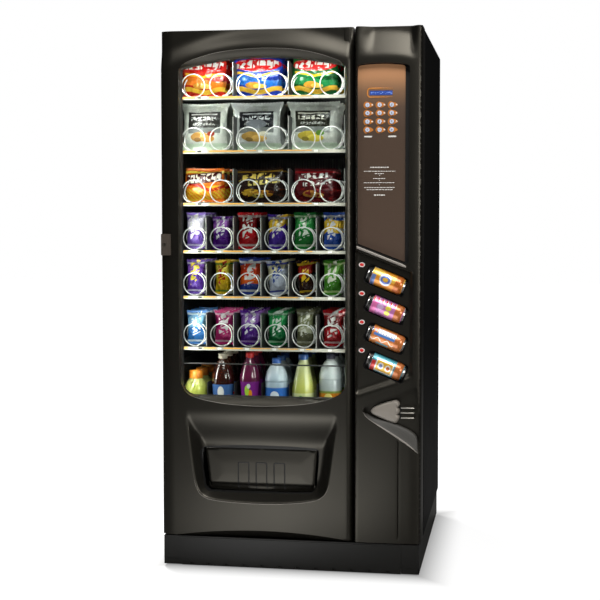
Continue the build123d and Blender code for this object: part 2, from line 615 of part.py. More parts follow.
# Delivery bin: floor, sides, sloping rear roof and front wall with the flap opening.
with BuildPart() as delivery_bin:
    with BuildSketch(Plane.YZ.offset(BIN_L)):
        with BuildLine():
            Polyline((BIN_FRONT, BIN_FLOOR), (BIN_REAR, BIN_FLOOR), (BIN_REAR, 400), (-334, BIN_TOP), (BIN_FRONT, BIN_TOP), (BIN_FRONT, BIN_FLOOR))
        make_face()
    extrude(amount=BIN_R - BIN_L)
    with BuildSketch(Plane.YZ.offset(BIN_L + 3)):
        with BuildLine():
            Polyline((BIN_FRONT + 3, BIN_FLOOR + 3), (BIN_REAR - 3, BIN_FLOOR + 3), (BIN_REAR - 3, 398.5), (-337, 473), (-337, 480), (BIN_FRONT + 3, 480), (BIN_FRONT + 3, BIN_FLOOR + 3))
        make_face()
    extrude(amount=BIN_R - BIN_L - 6, mode=Mode.SUBTRACT)
    slab(BIN_L, BIN_R, BIN_FRONT, BIN_FRONT + 3, BIN_TOP, 574)
    slab(FLAP_L - 5, FLAP_R + 5, BIN_FRONT - 1, BIN_FRONT + 4, FLAP_BOTTOM - 4, FLAP_TOP + 4, mode=Mode.SUBTRACT)
    # pin lugs of the flap
    for x0 in (FLAP_L - 12, FLAP_R + 4):
        slab(x0, x0 + 8, BIN_FRONT + 3, -376, FLAP_PIN_Z - 8, FLAP_PIN_Z + 8)
        with Locations(Location((x0 + 4, FLAP_PIN_Y, FLAP_PIN_Z), (0, 90, 0))):
            Cylinder(FLAP_PIN_R + 0.06, 12, mode=Mode.SUBTRACT)
    # posts that tie the bin to the door frame
    slab(-413, BIN_L, -362, -345, 300, 320)
    slab(BIN_R, 205, -362, -345, 300, 320)
save(delivery_bin, "delivery_bin")

# Delivery flap: stiffened panel that swings inwards on its two stub pins.
with BuildPart() as delivery_flap:
    slab(FLAP_L, FLAP_R, -387, -383, FLAP_BOTTOM, FLAP_TOP)
    slab(FLAP_L, FLAP_R, -391.5, -383, FLAP_BOTTOM, FLAP_BOTTOM + 14)
    for x in (-190.5, -110.0, -29.5):
        with BuildSketch(front_plane(-387)):
            with Locations((x, 316)):
                RectangleRounded(37, 84, 3)
                RectangleRounded(32, 79, 2, mode=Mode.SUBTRACT)
        extrude(amount=2)
    slab(FLAP_L, FLAP_R, -391.5, -383, FLAP_PIN_Z - 5, FLAP_PIN_Z + 5)
    with Locations(Location(((FLAP_L + FLAP_R) / 2, FLAP_PIN_Y, FLAP_PIN_Z), (0, 90, 0))):
        Cylinder(FLAP_PIN_R, FLAP_R - FLAP_L + 20)
save(delivery_flap, "delivery_flap")

# Lamps: two upright tubes beside the window and the four button indicators.
with BuildPart() as door_lamps:
    for x in (-400.0, 198.5):
        with Locations((x, -376, 1150)):
            Cylinder(6, 1080)
        for z in (600.0, 1700.0):
            slab(x - 8, x + 6.5, -388, -362, z - 12, z + 12)
            slab((-413 if x < 0 else 198), (-400 if x < 0 else 205), -366, -350, z - 12, z + 12)
    for z in LED_Z:
        rod(LED_X, CAN_FLOOR - 3, CAN_FLOOR + 12, z, 5)
        rod(LED_X, CAN_FLOOR - 2, CAN_FLOOR, z, 9)
save(door_lamps, "door_lamps")
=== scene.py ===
import math
import random

import bmesh
import bpy
import numpy as np
from mathutils import Matrix, Vector
from mathutils.geometry import delaunay_2d_cdt


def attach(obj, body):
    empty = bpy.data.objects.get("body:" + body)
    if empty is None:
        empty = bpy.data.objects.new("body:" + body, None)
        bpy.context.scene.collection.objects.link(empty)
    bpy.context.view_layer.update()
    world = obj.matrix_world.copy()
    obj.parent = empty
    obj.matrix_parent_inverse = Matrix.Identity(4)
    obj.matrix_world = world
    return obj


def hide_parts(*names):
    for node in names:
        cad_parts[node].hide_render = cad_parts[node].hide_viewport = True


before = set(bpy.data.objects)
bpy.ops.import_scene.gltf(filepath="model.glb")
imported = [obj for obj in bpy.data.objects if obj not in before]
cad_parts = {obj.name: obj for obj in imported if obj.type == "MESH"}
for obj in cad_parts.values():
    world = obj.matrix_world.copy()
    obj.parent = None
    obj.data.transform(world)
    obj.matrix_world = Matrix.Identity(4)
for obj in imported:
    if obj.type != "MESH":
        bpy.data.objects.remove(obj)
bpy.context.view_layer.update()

SCENE = bpy.context.scene
FRONT = -450.0          # front plane of the machine, mm; every length below is in mm unless it says m
random.seed(7)
rng = np.random.default_rng(7)


# ------------------------------------------------------------------------------------------------
# node materials
# ------------------------------------------------------------------------------------------------
class Nodes:
    """Small helper that wires a material's nodes."""

    def __init__(self, name):
        self.mat = bpy.data.materials.new(name)
        self.mat.use_nodes = True
        self.t = self.mat.node_tree
        self.t.nodes.clear()
        self.out = self.t.nodes.new("ShaderNodeOutputMaterial")
        self.b = self.t.nodes.new("ShaderNodeBsdfPrincipled")
        self.t.links.new(self.b.outputs[0], self.out.inputs[0])

    def n(self, kind, **props):
        node = self.t.nodes.new("ShaderNode" + kind)
        for k, v in props.items():
            setattr(node, k, v)
        return node

    def set(self, socket, value):
        if isinstance(value, bpy.types.NodeSocket):
            self.t.links.new(value, socket)
        elif isinstance(value, (tuple, list)) and len(value) == 3 and socket.type == "RGBA":
            socket.default_value = (*value, 1.0)
        else:
            socket.default_value = value

    def math(self, op, a, b=0.0, c=0.0, clamp=False):
        m = self.n("Math", operation=op, use_clamp=clamp)
        self.set(m.inputs[0], a)
        self.set(m.inputs[1], b)
        if len(m.inputs) > 2:
            self.set(m.inputs[2], c)
        return m.outputs[0]

    def mix(self, fac, a, b):
        m = self.n("Mix", data_type="RGBA")
        self.set(m.inputs[0], fac)
        self.set(m.inputs[6], a)
        self.set(m.inputs[7], b)
        return m.outputs[2]

    def step(self, value, edge, soft=0.01):
        """0 below edge, 1 above it."""
        m = self.n("MapRange", interpolation_type="SMOOTHSTEP")
        self.set(m.inputs[0], value)
        self.set(m.inputs[1], edge - soft)
        self.set(m.inputs[2], edge + soft)
        return m.outputs[0]

    def ramp(self, value, stops):
        r = self.n("ValToRGB")
        self.set(r.inputs[0], value)
        e = r.color_ramp.elements
        while len(e) < len(stops):
            e.new(0.5)
        for el, (p, c) in zip(e, stops):
            el.position = p
            el.color = (*c, 1.0)
        return r.outputs[0]

    def noise(self, scale, detail=3.0, vector=None, rough=0.5):
        m = self.n("TexNoise")
        m.inputs["Scale"].default_value = scale
        m.inputs["Detail"].default_value = detail
        m.inputs["Roughness"].default_value = rough
        if vector is not None:
            self.set(m.inputs["Vector"], vector)
        return m.outputs[0]

    def obj(self):
        return self.n("TexCoord").outputs["Object"]

    def uv(self):
        return self.n("TexCoord").outputs["UV"]

    def xyz(self, vector):
        s = self.n("SeparateXYZ")
        self.set(s.inputs[0], vector)
        return s.outputs

    def bump(self, height, strength=0.2, distance=0.001):
        b = self.n("Bump")
        b.inputs["Strength"].default_value = strength
        b.inputs["Distance"].default_value = distance
        self.set(b.inputs["Height"], height)
        self.set(self.b.inputs["Normal"], b.outputs[0])
        return b


def surface(name, color, rough=0.45, metal=0.0, spread=0.12, grain=900.0, bump=0.12, depth=0.0003,
            coat=0.0, scale=6.0, spec=None, tint=None, brushed=None):
    """Moulded, painted or plated finish: colour and gloss drift slowly, with a fine grain in the bump."""
    k = Nodes(name)
    p = k.obj()
    slow = k.noise(scale, 4.0, p)
    fine = k.noise(grain, 2.0, p)
    dark = tuple(c * (1 - spread) for c in color)
    lite = tuple(min(1.0, c * (1 + spread)) for c in color)
    k.set(k.b.inputs["Base Color"], k.mix(slow, dark, lite))
    drift = k.math("MULTIPLY_ADD", slow, rough * 0.22, rough * 0.89)
    k.set(k.b.inputs["Roughness"], k.math("MULTIPLY_ADD", fine, rough * 0.12, drift))
    k.b.inputs["Metallic"].default_value = metal
    k.b.inputs["Coat Weight"].default_value = coat
    k.b.inputs["Coat Roughness"].default_value = 0.12
    if spec is not None:
        k.b.inputs["Specular IOR Level"].default_value = spec
    if tint is not None:
        k.b.inputs["Specular Tint"].default_value = (*tint, 1.0)
    height = fine
    if brushed:
        m = k.n("Mapping")
        k.set(m.inputs["Vector"], p)
        m.inputs["Scale"].default_value = brushed
        height = k.noise(30.0, 3.0, m.outputs[0])
    k.bump(height, bump, depth)
    return k.mat


M = {}
M["fascia"] = surface("fascia_satin", (0.0050, 0.0047, 0.0039), 0.32, 0.0, 0.10, 1400, 0.10, 0.0002, spec=0.62, tint=(1.0, 0.94, 0.80))
M["cabinet"] = surface("cabinet_powder", (0.0055, 0.0055, 0.0058), 0.5, 0.0, 0.15, 1700, 0.22, 0.00025, spec=0.06)
M["rear"] = surface("rear_powder", (0.05, 0.05, 0.052), 0.5, 0.0, 0.2, 1500, 0.25, 0.0003)
M["plinth"] = surface("plinth_powder", (0.0060, 0.0058, 0.0050), 0.42, 0.0, 0.2, 1500, 0.2, 0.0003)
M["liner"] = surface("liner_ribbed", (0.014, 0.014, 0.014), 0.5, 0.0, 0.2, 900, 0.15, 0.0003)
_k = Nodes("liner_fine_ribs")
_p = _k.obj()
_x, _y, _z = _k.xyz(_p)
_rib = _k.step(_k.math("ABSOLUTE", _k.math("SUBTRACT", _k.math("FRACT", _k.math("MULTIPLY", _x, 95.0)), 0.5)), 0.30, 0.08)
_face = _k.step(_k.math("MULTIPLY", _k.xyz(_k.n("NewGeometry").outputs["Normal"])[1], -1.0), 0.7, 0.1)
_k.set(_k.b.inputs["Base Color"], _k.mix(_k.math("MULTIPLY", _rib, _face), _k.mix(_k.noise(5.0, 3.0, _p), (0.010, 0.010, 0.010), (0.016, 0.016, 0.015)), (0.050, 0.048, 0.044)))
_k.b.inputs["Roughness"].default_value = 0.45
_k.bump(_k.math("ADD", _k.noise(900.0, 2.0, _p), _k.math("MULTIPLY", _rib, _face)), 0.3, 0.0008)
M["liner"] = _k.mat
M["frame"] = surface("door_steel_black", (0.016, 0.016, 0.017), 0.45, 0.0, 0.2, 1200, 0.2, 0.0003)
M["bin"] = surface("bin_plastic", (0.010, 0.010, 0.0095), 0.42, 0.0, 0.2, 1200, 0.3, 0.0004)
M["tray"] = surface("tray_grey", (0.030, 0.030, 0.029), 0.45, 0.1, 0.12, 1100, 0.15, 0.0003)
M["rail"] = surface("rail_cream", (0.50, 0.48, 0.41), 0.4, 0.0, 0.10, 900, 0.10, 0.0002, coat=0.15)
M["wire"] = surface("spiral_wire", (0.86, 0.86, 0.84), 0.30, 0.55, 0.10, 700, 0.10, 0.0001)
M["zinc"] = surface("zinc_plate", (0.42, 0.42, 0.40), 0.36, 0.9, 0.30, 260, 0.15, 0.0002, scale=28.0)
M["motor"] = surface("motor_case", (0.55, 0.55, 0.52), 0.5, 0.0, 0.12, 900, 0.2, 0.0003)
M["gloss_black"] = surface("compressor_enamel", (0.012, 0.012, 0.012), 0.2, 0.0, 0.2, 500, 0.1, 0.0004, coat=0.5)
M["fins"] = surface("fin_aluminium", (0.55, 0.56, 0.57), 0.35, 0.9, 0.15, 600, 0.2, 0.0004, brushed=(2, 2, 60))
M["grey_plastic"] = surface("grey_plastic", (0.06, 0.06, 0.062), 0.5, 0.0, 0.2, 1200, 0.25, 0.0004)
M["board"] = surface("circuit_board", (0.015, 0.10, 0.045), 0.35, 0.0, 0.35, 300, 0.3, 0.0004, scale=90.0)
M["bezel"] = surface("coin_bezel_grey", (0.27, 0.245, 0.215), 0.42, 0.15, 0.12, 1600, 0.35, 0.0003)
M["swoosh"] = surface("swoosh_texture", (0.050, 0.048, 0.043), 0.5, 0.0, 0.16, 420, 0.8, 0.0008)
# lighter grey for the panel ledge, partly a painted highlight there, and for painted highlight lines on edges and
# crests
M["crest"] = surface("pale_ledge_and_painted_highlight", (0.27, 0.25, 0.225), 0.36, 0.2, 0.10, 1500, 0.2, 0.0002)
M["bar"] = surface("guide_bar", (0.45, 0.43, 0.39), 0.3, 0.8, 0.10, 1200, 0.1, 0.0002)
M["lock"] = surface("lock_bronze", (0.14, 0.116, 0.098), 0.36, 0.6, 0.2, 500, 0.2, 0.0002, brushed=(3, 3, 80))
M["barrel"] = surface("lock_barrel_bronze", (0.16, 0.14, 0.12), 0.3, 0.8, 0.1, 900, 0.08, 0.0001)
# black for printed digits and tags, and painted shade on recess walls, floors and grooves
M["dark"] = surface("black_print_and_painted_shade", (0.004, 0.004, 0.004), 0.6, 0.0, 0.2, 900, 0.1, 0.0002)
M["print_white"] = surface("print_white", (0.75, 0.74, 0.71), 0.5, 0.0, 0.05, 900, 0.05, 0.0001)
M["print_orange"] = surface("print_orange", (0.80, 0.30, 0.05), 0.35, 0.0, 0.12, 700, 0.08, 0.0001, coat=0.3)
# lighter grey: painted highlight for the flap's top rim and the finger tab edges
M["edge_lit"] = surface("painted_edge_highlight", (0.10, 0.095, 0.085), 0.3, 0.2, 0.15, 1400, 0.1, 0.0002)
M["divider_edge"] = surface("divider_edge", (0.50, 0.50, 0.47), 0.4, 0.2, 0.15, 900, 0.1, 0.0002)
M["gasket"] = surface("gasket_rubber", (0.012, 0.012, 0.012), 0.7, 0.0, 0.2, 800, 0.2, 0.0004)
M["label_amber"] = surface("label_amber", (0.85, 0.42, 0.06), 0.45, 0.0, 0.2, 300, 0.05, 0.0002, scale=40.0)
M["label_white"] = surface("label_white", (0.82, 0.81, 0.77), 0.45, 0.0, 0.06, 300, 0.05, 0.0002, scale=40.0)


def glass_material():
    k = Nodes("window_clear")
    k.t.nodes.remove(k.b)
    clear = k.n("BsdfTransparent")
    clear.inputs[0].default_value = (0.93, 0.955, 0.945, 1)
    gloss = k.n("BsdfGlossy")
    gloss.inputs["Roughness"].default_value = 0.03
    fres = k.n("Fresnel")
    fres.inputs[0].default_value = 1.35
    smear = k.noise(3.0, 3.0, k.obj())
    both = k.n("MixShader")
    k.set(both.inputs[0], k.math("MULTIPLY", fres.outputs[0], k.math("MULTIPLY_ADD", smear, 0.05, 0.03)))
    k.t.links.new(clear.outputs[0], both.inputs[1])
    k.t.links.new(gloss.outputs[0], both.inputs[2])
    k.t.links.new(both.outputs[0], k.out.inputs[0])
    return k.mat


def panel_material():
    """Copper at the top of the face plate that fades to charcoal, with orange raised key surrounds."""
    k = Nodes("panel_copper")
    p = k.obj()
    x, y, z = k.xyz(p)
    t = k.math("MULTIPLY_ADD", z, 1 / 0.66, -1.05 / 0.66)
    base = k.ramp(t, [(0.0, (0.050, 0.041, 0.036)), (0.36, (0.040, 0.033, 0.029)), (0.66, (0.036, 0.029, 0.025)),
                      (0.78, (0.066, 0.048, 0.038)), (0.86, (0.22, 0.125, 0.070)), (0.93, (0.52, 0.26, 0.125)),
                      (1.0, (0.72, 0.36, 0.175))])
    fleck = k.noise(1500.0, 1.0, p)
    base = k.mix(k.math("MULTIPLY", fleck, 0.35), base, k.mix(0.5, base, (0.35, 0.25, 0.18)))
    nib = k.step(k.math("MULTIPLY", y, -1.0), 0.4285, 0.0002)
    base = k.mix(nib, base, (0.62, 0.22, 0.04))
    k.set(k.b.inputs["Base Color"], base)
    k.b.inputs["Metallic"].default_value = 0.15
    k.b.inputs["Roughness"].default_value = 0.38
    k.b.inputs["Coat Weight"].default_value = 0.2
    k.b.inputs["Coat Roughness"].default_value = 0.1
    k.bump(fleck, 0.06, 0.0001)
    return k.mat


def screen_material():
    k = Nodes("screen_blue")
    x, y, z = k.xyz(k.obj())
    cell = k.math("FRACT", k.math("MULTIPLY_ADD", x, 210.0, 0.2))
    on = k.math("MULTIPLY", k.step(cell, 0.3, 0.05), k.step(k.noise(260.0, 0.0, k.obj()), 0.56, 0.05))
    band = k.math("MULTIPLY", k.step(z, 1.6085, 0.0005), k.math("SUBTRACT", 1.0, k.step(z, 1.6155, 0.0005)))
    lit = k.mix(k.math("MULTIPLY", on, band), (0.025, 0.055, 0.24), (0.20, 0.32, 0.75))
    k.set(k.b.inputs["Base Color"], lit)
    k.set(k.b.inputs["Emission Color"], lit)
    k.b.inputs["Emission Strength"].default_value = 0.55
    k.b.inputs["Roughness"].default_value = 0.12
    return k.mat


def key_material():
    # pale blue-white cap colour is a painted reflection: the caps are metal that reflects the light
    k = Nodes("key_cap_pale")
    p = k.obj()
    slow = k.noise(220.0, 2.0, p)
    k.set(k.b.inputs["Base Color"], k.mix(slow, (0.42, 0.50, 0.74), (0.80, 0.84, 0.92)))
    k.b.inputs["Roughness"].default_value = 0.2
    k.b.inputs["Coat Weight"].default_value = 0.5
    k.bump(k.noise(1200.0, 1.0, p), 0.05, 0.0001)
    return k.mat


def led_material():
    k = Nodes("led_red")
    p = k.obj()
    core = k.noise(500.0, 1.0, p)
    c = k.mix(core, (0.35, 0.006, 0.008), (0.65, 0.02, 0.015))
    k.set(k.b.inputs["Base Color"], c)
    k.set(k.b.inputs["Emission Color"], c)
    k.b.inputs["Emission Strength"].default_value = 0.35
    k.b.inputs["Roughness"].default_value = 0.15
    k.b.inputs["Coat Weight"].default_value = 0.6
    return k.mat


def lamp_material():
    k = Nodes("lamp_tube")
    warm = k.noise(12.0, 2.0, k.obj())
    c = k.mix(warm, (0.92, 0.94, 1.0), (1.0, 0.98, 0.94))
    k.set(k.b.inputs["Base Color"], c)
    k.set(k.b.inputs["Emission Color"], c)
    k.b.inputs["Emission Strength"].default_value = 2.2
    k.b.inputs["Roughness"].default_value = 0.3
    return k.mat


M["glass"] = glass_material()
M["panel"] = panel_material()
M["screen"] = screen_material()
M["key"] = key_material()
M["led"] = led_material()
M["lamp"] = lamp_material()


# Printed packs: shapes laid on the piece's own UV square (u right, v up).
def printed(name, base, layers, rough=0.28, metal=0.0, crinkle=0.5, scale=14.0, coat=0.3, deep=1.0):
    def ink(c):
        return tuple(q ** deep for q in c)

    base = [(q, ink(c)) for q, c in base] if isinstance(base, list) else ink(base)
    layers = [(layer[0], ink(layer[1])) + tuple(layer[2:]) for layer in layers]
    k = Nodes(name)
    uv = k.uv()
    u, v, _ = k.xyz(uv)
    p = k.obj()
    color = base if not isinstance(base, list) else k.ramp(v, base)
    for layer in layers:
        kind, c = layer[0], layer[1]
        a = layer[2:]
        s = 0.012
        if kind == "rect":          # u0, u1, v0, v1, slope
            u0, u1, v0, v1 = a[:4]
            sl = a[4] if len(a) > 4 else 0.0
            vv = k.math("MULTIPLY_ADD", u, -sl, v)
            f = k.math("MULTIPLY", k.math("MULTIPLY", k.step(u, u0, s), k.math("SUBTRACT", 1.0, k.step(u, u1, s))),
                       k.math("MULTIPLY", k.step(vv, v0, s), k.math("SUBTRACT", 1.0, k.step(vv, v1, s))))
        elif kind == "ell":         # cu, cv, ru, rv
            cu, cv, ru, rv = a
            du = k.math("MULTIPLY", k.math("SUBTRACT", u, cu), 1 / ru)
            dv = k.math("MULTIPLY", k.math("SUBTRACT", v, cv), 1 / rv)
            d = k.math("ADD", k.math("MULTIPLY", du, du), k.math("MULTIPLY", dv, dv))
            f = k.math("SUBTRACT", 1.0, k.step(d, 1.0, 0.08))
        elif kind == "wave":        # centre v, half width, amplitude, cycles, phase, slope
            cv, hw, amp, cyc, ph, sl = a
            w = k.math("SINE", k.math("MULTIPLY_ADD", u, cyc * 2 * math.pi, ph))
            line = k.math("MULTIPLY_ADD", w, amp, k.math("MULTIPLY_ADD", u, sl, cv))
            d = k.math("ABSOLUTE", k.math("SUBTRACT", v, line))
            f = k.math("SUBTRACT", 1.0, k.step(d, hw, s))
        elif kind == "stripes":     # cycles, duty, slope, v0, v1
            cyc, duty, sl, v0, v1 = a
            ph = k.math("FRACT", k.math("MULTIPLY", k.math("MULTIPLY_ADD", v, sl, u), cyc))
            f = k.math("MULTIPLY", k.step(ph, 1 - duty, 0.04),
                       k.math("MULTIPLY", k.step(v, v0, s), k.math("SUBTRACT", 1.0, k.step(v, v1, s))))
        elif kind == "vee":         # centre u, centre v, slope, half width, reach
            cu, cv, sl, hw, reach = a
            du = k.math("ABSOLUTE", k.math("SUBTRACT", u, cu))
            line = k.math("MULTIPLY_ADD", k.math("POWER", du, 0.7), sl, cv)
            f = k.math("MULTIPLY", k.math("SUBTRACT", 1.0, k.step(k.math("ABSOLUTE", k.math("SUBTRACT", v, line)), hw, s)),
                       k.math("SUBTRACT", 1.0, k.step(du, reach, 0.03)))
        elif kind == "scrawl":      # noise scale, level, u0, u1, v0, v1, slope
            sc, lev, u0, u1, v0, v1, sl = a
            vv = k.math("MULTIPLY_ADD", u, -sl, v)
            mp = k.n("Mapping")
            k.set(mp.inputs["Vector"], uv)
            mp.inputs["Location"].default_value = (u0 * 7.3 + v0 * 3.1, v1 * 5.7, 0)
            mp.inputs["Scale"].default_value = (1.0, 1.0, 1.0) if u1 - u0 >= v1 - v0 else (1.6, 0.9, 1.0)
            f = k.math("MULTIPLY", k.math("MULTIPLY", k.step(u, u0, s), k.math("SUBTRACT", 1.0, k.step(u, u1, s))),
                       k.math("MULTIPLY", k.step(vv, v0, s), k.math("SUBTRACT", 1.0, k.step(vv, v1, s))))
            f = k.math("MULTIPLY", f, k.step(k.noise(sc, 1.0, mp.outputs[0]), lev, 0.02))
        elif kind == "glyphs":      # blocks per unit, u0, u1, v0, v1, slope
            cyc, u0, u1, v0, v1, sl = a
            tall = (v1 - v0) > (u1 - u0) * 0.9
            vv = k.math("MULTIPLY_ADD", u, -sl, v)
            f = k.math("MULTIPLY", k.math("MULTIPLY", k.step(u, u0, s), k.math("SUBTRACT", 1.0, k.step(u, u1, s))),
                       k.math("MULTIPLY", k.step(vv, v0, s), k.math("SUBTRACT", 1.0, k.step(vv, v1, s))))
            ph = k.math("FRACT", k.math("MULTIPLY", vv if tall else u, cyc))
            mp = k.n("Mapping")
            k.set(mp.inputs["Vector"], uv)
            mp.inputs["Location"].default_value = (u0 * 17.3 + v0 * 31.0 + c[0] * 5, v1 * 15.7 + c[1] * 9, 0)
            mp.inputs["Scale"].default_value = (1.3, cyc * 0.32, 1.0) if tall else (cyc * 0.32, 1.6 / max(0.05, v1 - v0) * 0.25, 1.0)
            f = k.math("MULTIPLY", f, k.math("MULTIPLY", k.step(ph, 0.20, 0.06), k.math("SUBTRACT", 1.0, k.step(k.noise(4.2, 0.0, mp.outputs[0]), 0.53, 0.03))))
        elif kind == "blobs":       # noise scale, level, v0, v1
            sc, lev, v0, v1 = a
            f = k.math("MULTIPLY", k.step(k.noise(sc, 2.0, uv), lev, 0.03),
                       k.math("MULTIPLY", k.step(v, v0, 0.04), k.math("SUBTRACT", 1.0, k.step(v, v1, 0.04))))
        color = k.mix(f, color, c)
    k.set(k.b.inputs["Base Color"], color)
    fold = k.noise(scale, 5.0, p, 0.6)
    k.set(k.b.inputs["Roughness"], k.math("MULTIPLY_ADD", fold, 0.2, rough - 0.08))
    k.b.inputs["Metallic"].default_value = metal
    k.b.inputs["Coat Weight"].default_value = coat
    k.b.inputs["Coat Roughness"].default_value = 0.15
    k.bump(k.math("ADD", fold, k.math("MULTIPLY", k.noise(scale * 5, 3.0, p), 0.3)), crinkle, 0.004)
    return k.mat


# ------------------------------------------------------------------------------------------------
# mesh helpers
# ------------------------------------------------------------------------------------------------
class Shape:
    """Collects vertices (mm) and faces, then becomes one object."""

    def __init__(self):
        self.v, self.f, self.m, self.uv = [], [], [], []

    def add(self, verts, faces, mat=0, uv=None):
        o = len(self.v)
        self.v.extend([tuple(map(float, p)) for p in verts])
        self.f.extend([tuple(i + o for i in f) for f in faces])
        self.m.extend([mat] * len(faces))
        self.uv.extend(uv if uv is not None else [(0.0, 0.0)] * len(verts))

    def strip(self, a, b, closed=True, mat=0, flip=False):
        n = len(a)
        faces = []
        for i in range(n if closed else n - 1):
            j = (i + 1) % n
            q = (i, j, n + j, n + i)
            faces.append(q[::-1] if flip else q)
        self.add(list(a) + list(b), faces, mat)

    def grid(self, rows, mat=0, uv=None, flip=False):
        """rows: equal-length lists of points."""
        n, faces = len(rows[0]), []
        for r in range(len(rows) - 1):
            for i in range(n - 1):
                q = (r * n + i, r * n + i + 1, (r + 1) * n + i + 1, (r + 1) * n + i)
                faces.append(q[::-1] if flip else q)
        flat = [p for row in rows for p in row]
        self.add(flat, faces, mat, uv)

    def tube(self, path, radius, sides=8, mat=0, caps=True):
        p = np.array(path, float)
        t = np.gradient(p, axis=0)
        t /= np.linalg.norm(t, axis=1)[:, None]
        ref = np.array([0.0, 0.0, 1.0]) if abs(t[0][2]) < 0.9 else np.array([1.0, 0.0, 0.0])
        nrm = np.cross(t[0], ref)
        nrm /= np.linalg.norm(nrm)
        rings = []
        for i in range(len(p)):
            nrm = nrm - (nrm @ t[i]) * t[i]
            nrm /= np.linalg.norm(nrm)
            bi = np.cross(t[i], nrm)
            rad = radius[i] if hasattr(radius, "__len__") else radius
            rings.append([p[i] + rad * (math.cos(a) * nrm + math.sin(a) * bi) for a in
                          [2 * math.pi * k / sides for k in range(sides)]])
        faces = []
        for r in range(len(p) - 1):
            for k in range(sides):
                j = (k + 1) % sides
                faces.append((r * sides + k, (r + 1) * sides + k, (r + 1) * sides + j, r * sides + j))
        if caps:
            faces.append(tuple(range(sides)))
            faces.append(tuple(reversed([(len(p) - 1) * sides + k for k in range(sides)])))
        self.add([q for r in rings for q in r], faces, mat)

    def lathe(self, profile, origin, axis_matrix, seg=40, mat=None, a0=0.0, a1=2 * math.pi, uv=True):
        """profile: (radius, height, material) from bottom to top about the matrix's local Z."""
        full = abs(a1 - a0 - 2 * math.pi) < 1e-6
        verts, uvs, faces, mats = [], [], [], []
        n = seg + 1
        hs = [q[1] for q in profile]
        h0, h1 = min(hs), max(hs)
        for r, h, *_ in profile:
            for i in range(n):
                a = a0 + (a1 - a0) * i / seg
                pt = axis_matrix @ Vector((r * math.cos(a), r * math.sin(a), h)) + Vector(origin)
                verts.append(tuple(pt))
                uvs.append((i / seg, (h - h0) / (h1 - h0)))
        for j in range(len(profile) - 1):
            for i in range(seg):
                faces.append((j * n + i, j * n + i + 1, (j + 1) * n + i + 1, (j + 1) * n + i))
                mats.append(profile[j][2] if len(profile[j]) > 2 else (mat or 0))
        o = len(self.v)
        self.v.extend(verts)
        self.uv.extend(uvs)
        self.f.extend([tuple(i + o for i in f) for f in faces])
        self.m.extend(mats)

    def build(self, name, mats, sharp=38.0, bevel=0.0, solid=0.0, merge=0.02, segments=2, outward=True):
        me = bpy.data.meshes.new(name)
        me.from_pydata([(x / 1000, y / 1000, z / 1000) for x, y, z in self.v], [], self.f)
        me.update()
        layer = me.uv_layers.new(name="UVMap")
        co = np.array(self.uv, np.float32)
        loops = np.zeros(len(me.loops), np.int32)
        me.loops.foreach_get("vertex_index", loops)
        layer.data.foreach_set("uv", co[loops].ravel())
        for m in mats:
            me.materials.append(m)
        me.polygons.foreach_set("material_index", np.array(self.m, np.int32))
        bm = bmesh.new()
        bm.from_mesh(me)
        if merge:
            bmesh.ops.remove_doubles(bm, verts=bm.verts, dist=merge / 1000)
            bmesh.ops.dissolve_degenerate(bm, edges=bm.edges, dist=1e-6)
        if outward:
            bmesh.ops.recalc_face_normals(bm, faces=bm.faces)
        limit = math.radians(sharp)
        for e in bm.edges:
            e.smooth = len(e.link_faces) == 2 and e.calc_face_angle(0.0) < limit
        for f in bm.faces:
            f.smooth = True
        bm.to_mesh(me)
        bm.free()
        ob = bpy.data.objects.new(name, me)
        SCENE.collection.objects.link(ob)
        if solid:
            s = ob.modifiers.new("wall", "SOLIDIFY")
            s.thickness = solid / 1000
            s.offset = -1.0
            s.use_even_offset = False
        if bevel:
            b = ob.modifiers.new("edges", "BEVEL")
            b.width = bevel / 1000
            b.segments = segments
            b.limit_method = "ANGLE"
            b.angle_limit = math.radians(40)
            b.harden_normals = False
        return ob


def catmull(pts, per=8, closed=False):
    p = [np.array(q, float) for q in pts]
    n = len(p)
    out = []
    for i in range(n if closed else n - 1):
        a = p[(i - 1) % n] if closed or i > 0 else 2 * p[0] - p[1]
        b, c = p[i], p[(i + 1) % n]
        d = p[(i + 2) % n] if closed or i + 2 < n else 2 * p[-1] - p[-2]
        for k in range(per):
            t = k / per
            out.append(tuple(0.5 * ((2 * b) + (-a + c) * t + (2 * a - 5 * b + 4 * c - d) * t * t
                                    + (-a + 3 * b - 3 * c + d) * t ** 3)))
    if not closed:
        out.append(tuple(p[-1]))
    return out


def dense(pts, step, closed=True):
    p = [np.array(q, float) for q in pts]
    out = []
    for i in range(len(p) if closed else len(p) - 1):
        a, b = p[i], p[(i + 1) % len(p)]
        k = max(1, int(round(np.linalg.norm(b - a) / step)))
        out.extend([tuple(a + (b - a) * j / k) for j in range(k)])
    if not closed:
        out.append(tuple(p[-1]))
    return out


def rounded(pts, radii, n=6):
    """Polygon with rounded corners; radii is one number or one per corner."""
    m = len(pts)
    rad = radii if hasattr(radii, "__len__") else [radii] * m
    out = []
    for i in range(m):
        p, a, b = (np.array(q, float) for q in (pts[i], pts[i - 1], pts[(i + 1) % m]))
        u, w = (a - p) / np.linalg.norm(a - p), (b - p) / np.linalg.norm(b - p)
        ang = math.acos(max(-1, min(1, float(u @ w))))
        if rad[i] <= 0 or ang > math.pi - 0.02:
            out.append(tuple(p))
            continue
        cut = min(rad[i] / math.tan(ang / 2), 0.49 * np.linalg.norm(a - p), 0.49 * np.linalg.norm(b - p))
        r = cut * math.tan(ang / 2)
        c = p + (u + w) / np.linalg.norm(u + w) * (r / math.sin(ang / 2))
        s, e = p + u * cut - c, p + w * cut - c
        a0, a1 = math.atan2(s[1], s[0]), math.atan2(e[1], e[0])
        while a1 - a0 > math.pi:
            a1 -= 2 * math.pi
        while a1 - a0 < -math.pi:
            a1 += 2 * math.pi
        for k in range(n + 1):
            t = a0 + (a1 - a0) * k / n
            out.append((c[0] + r * math.cos(t), c[1] + r * math.sin(t)))
    return out


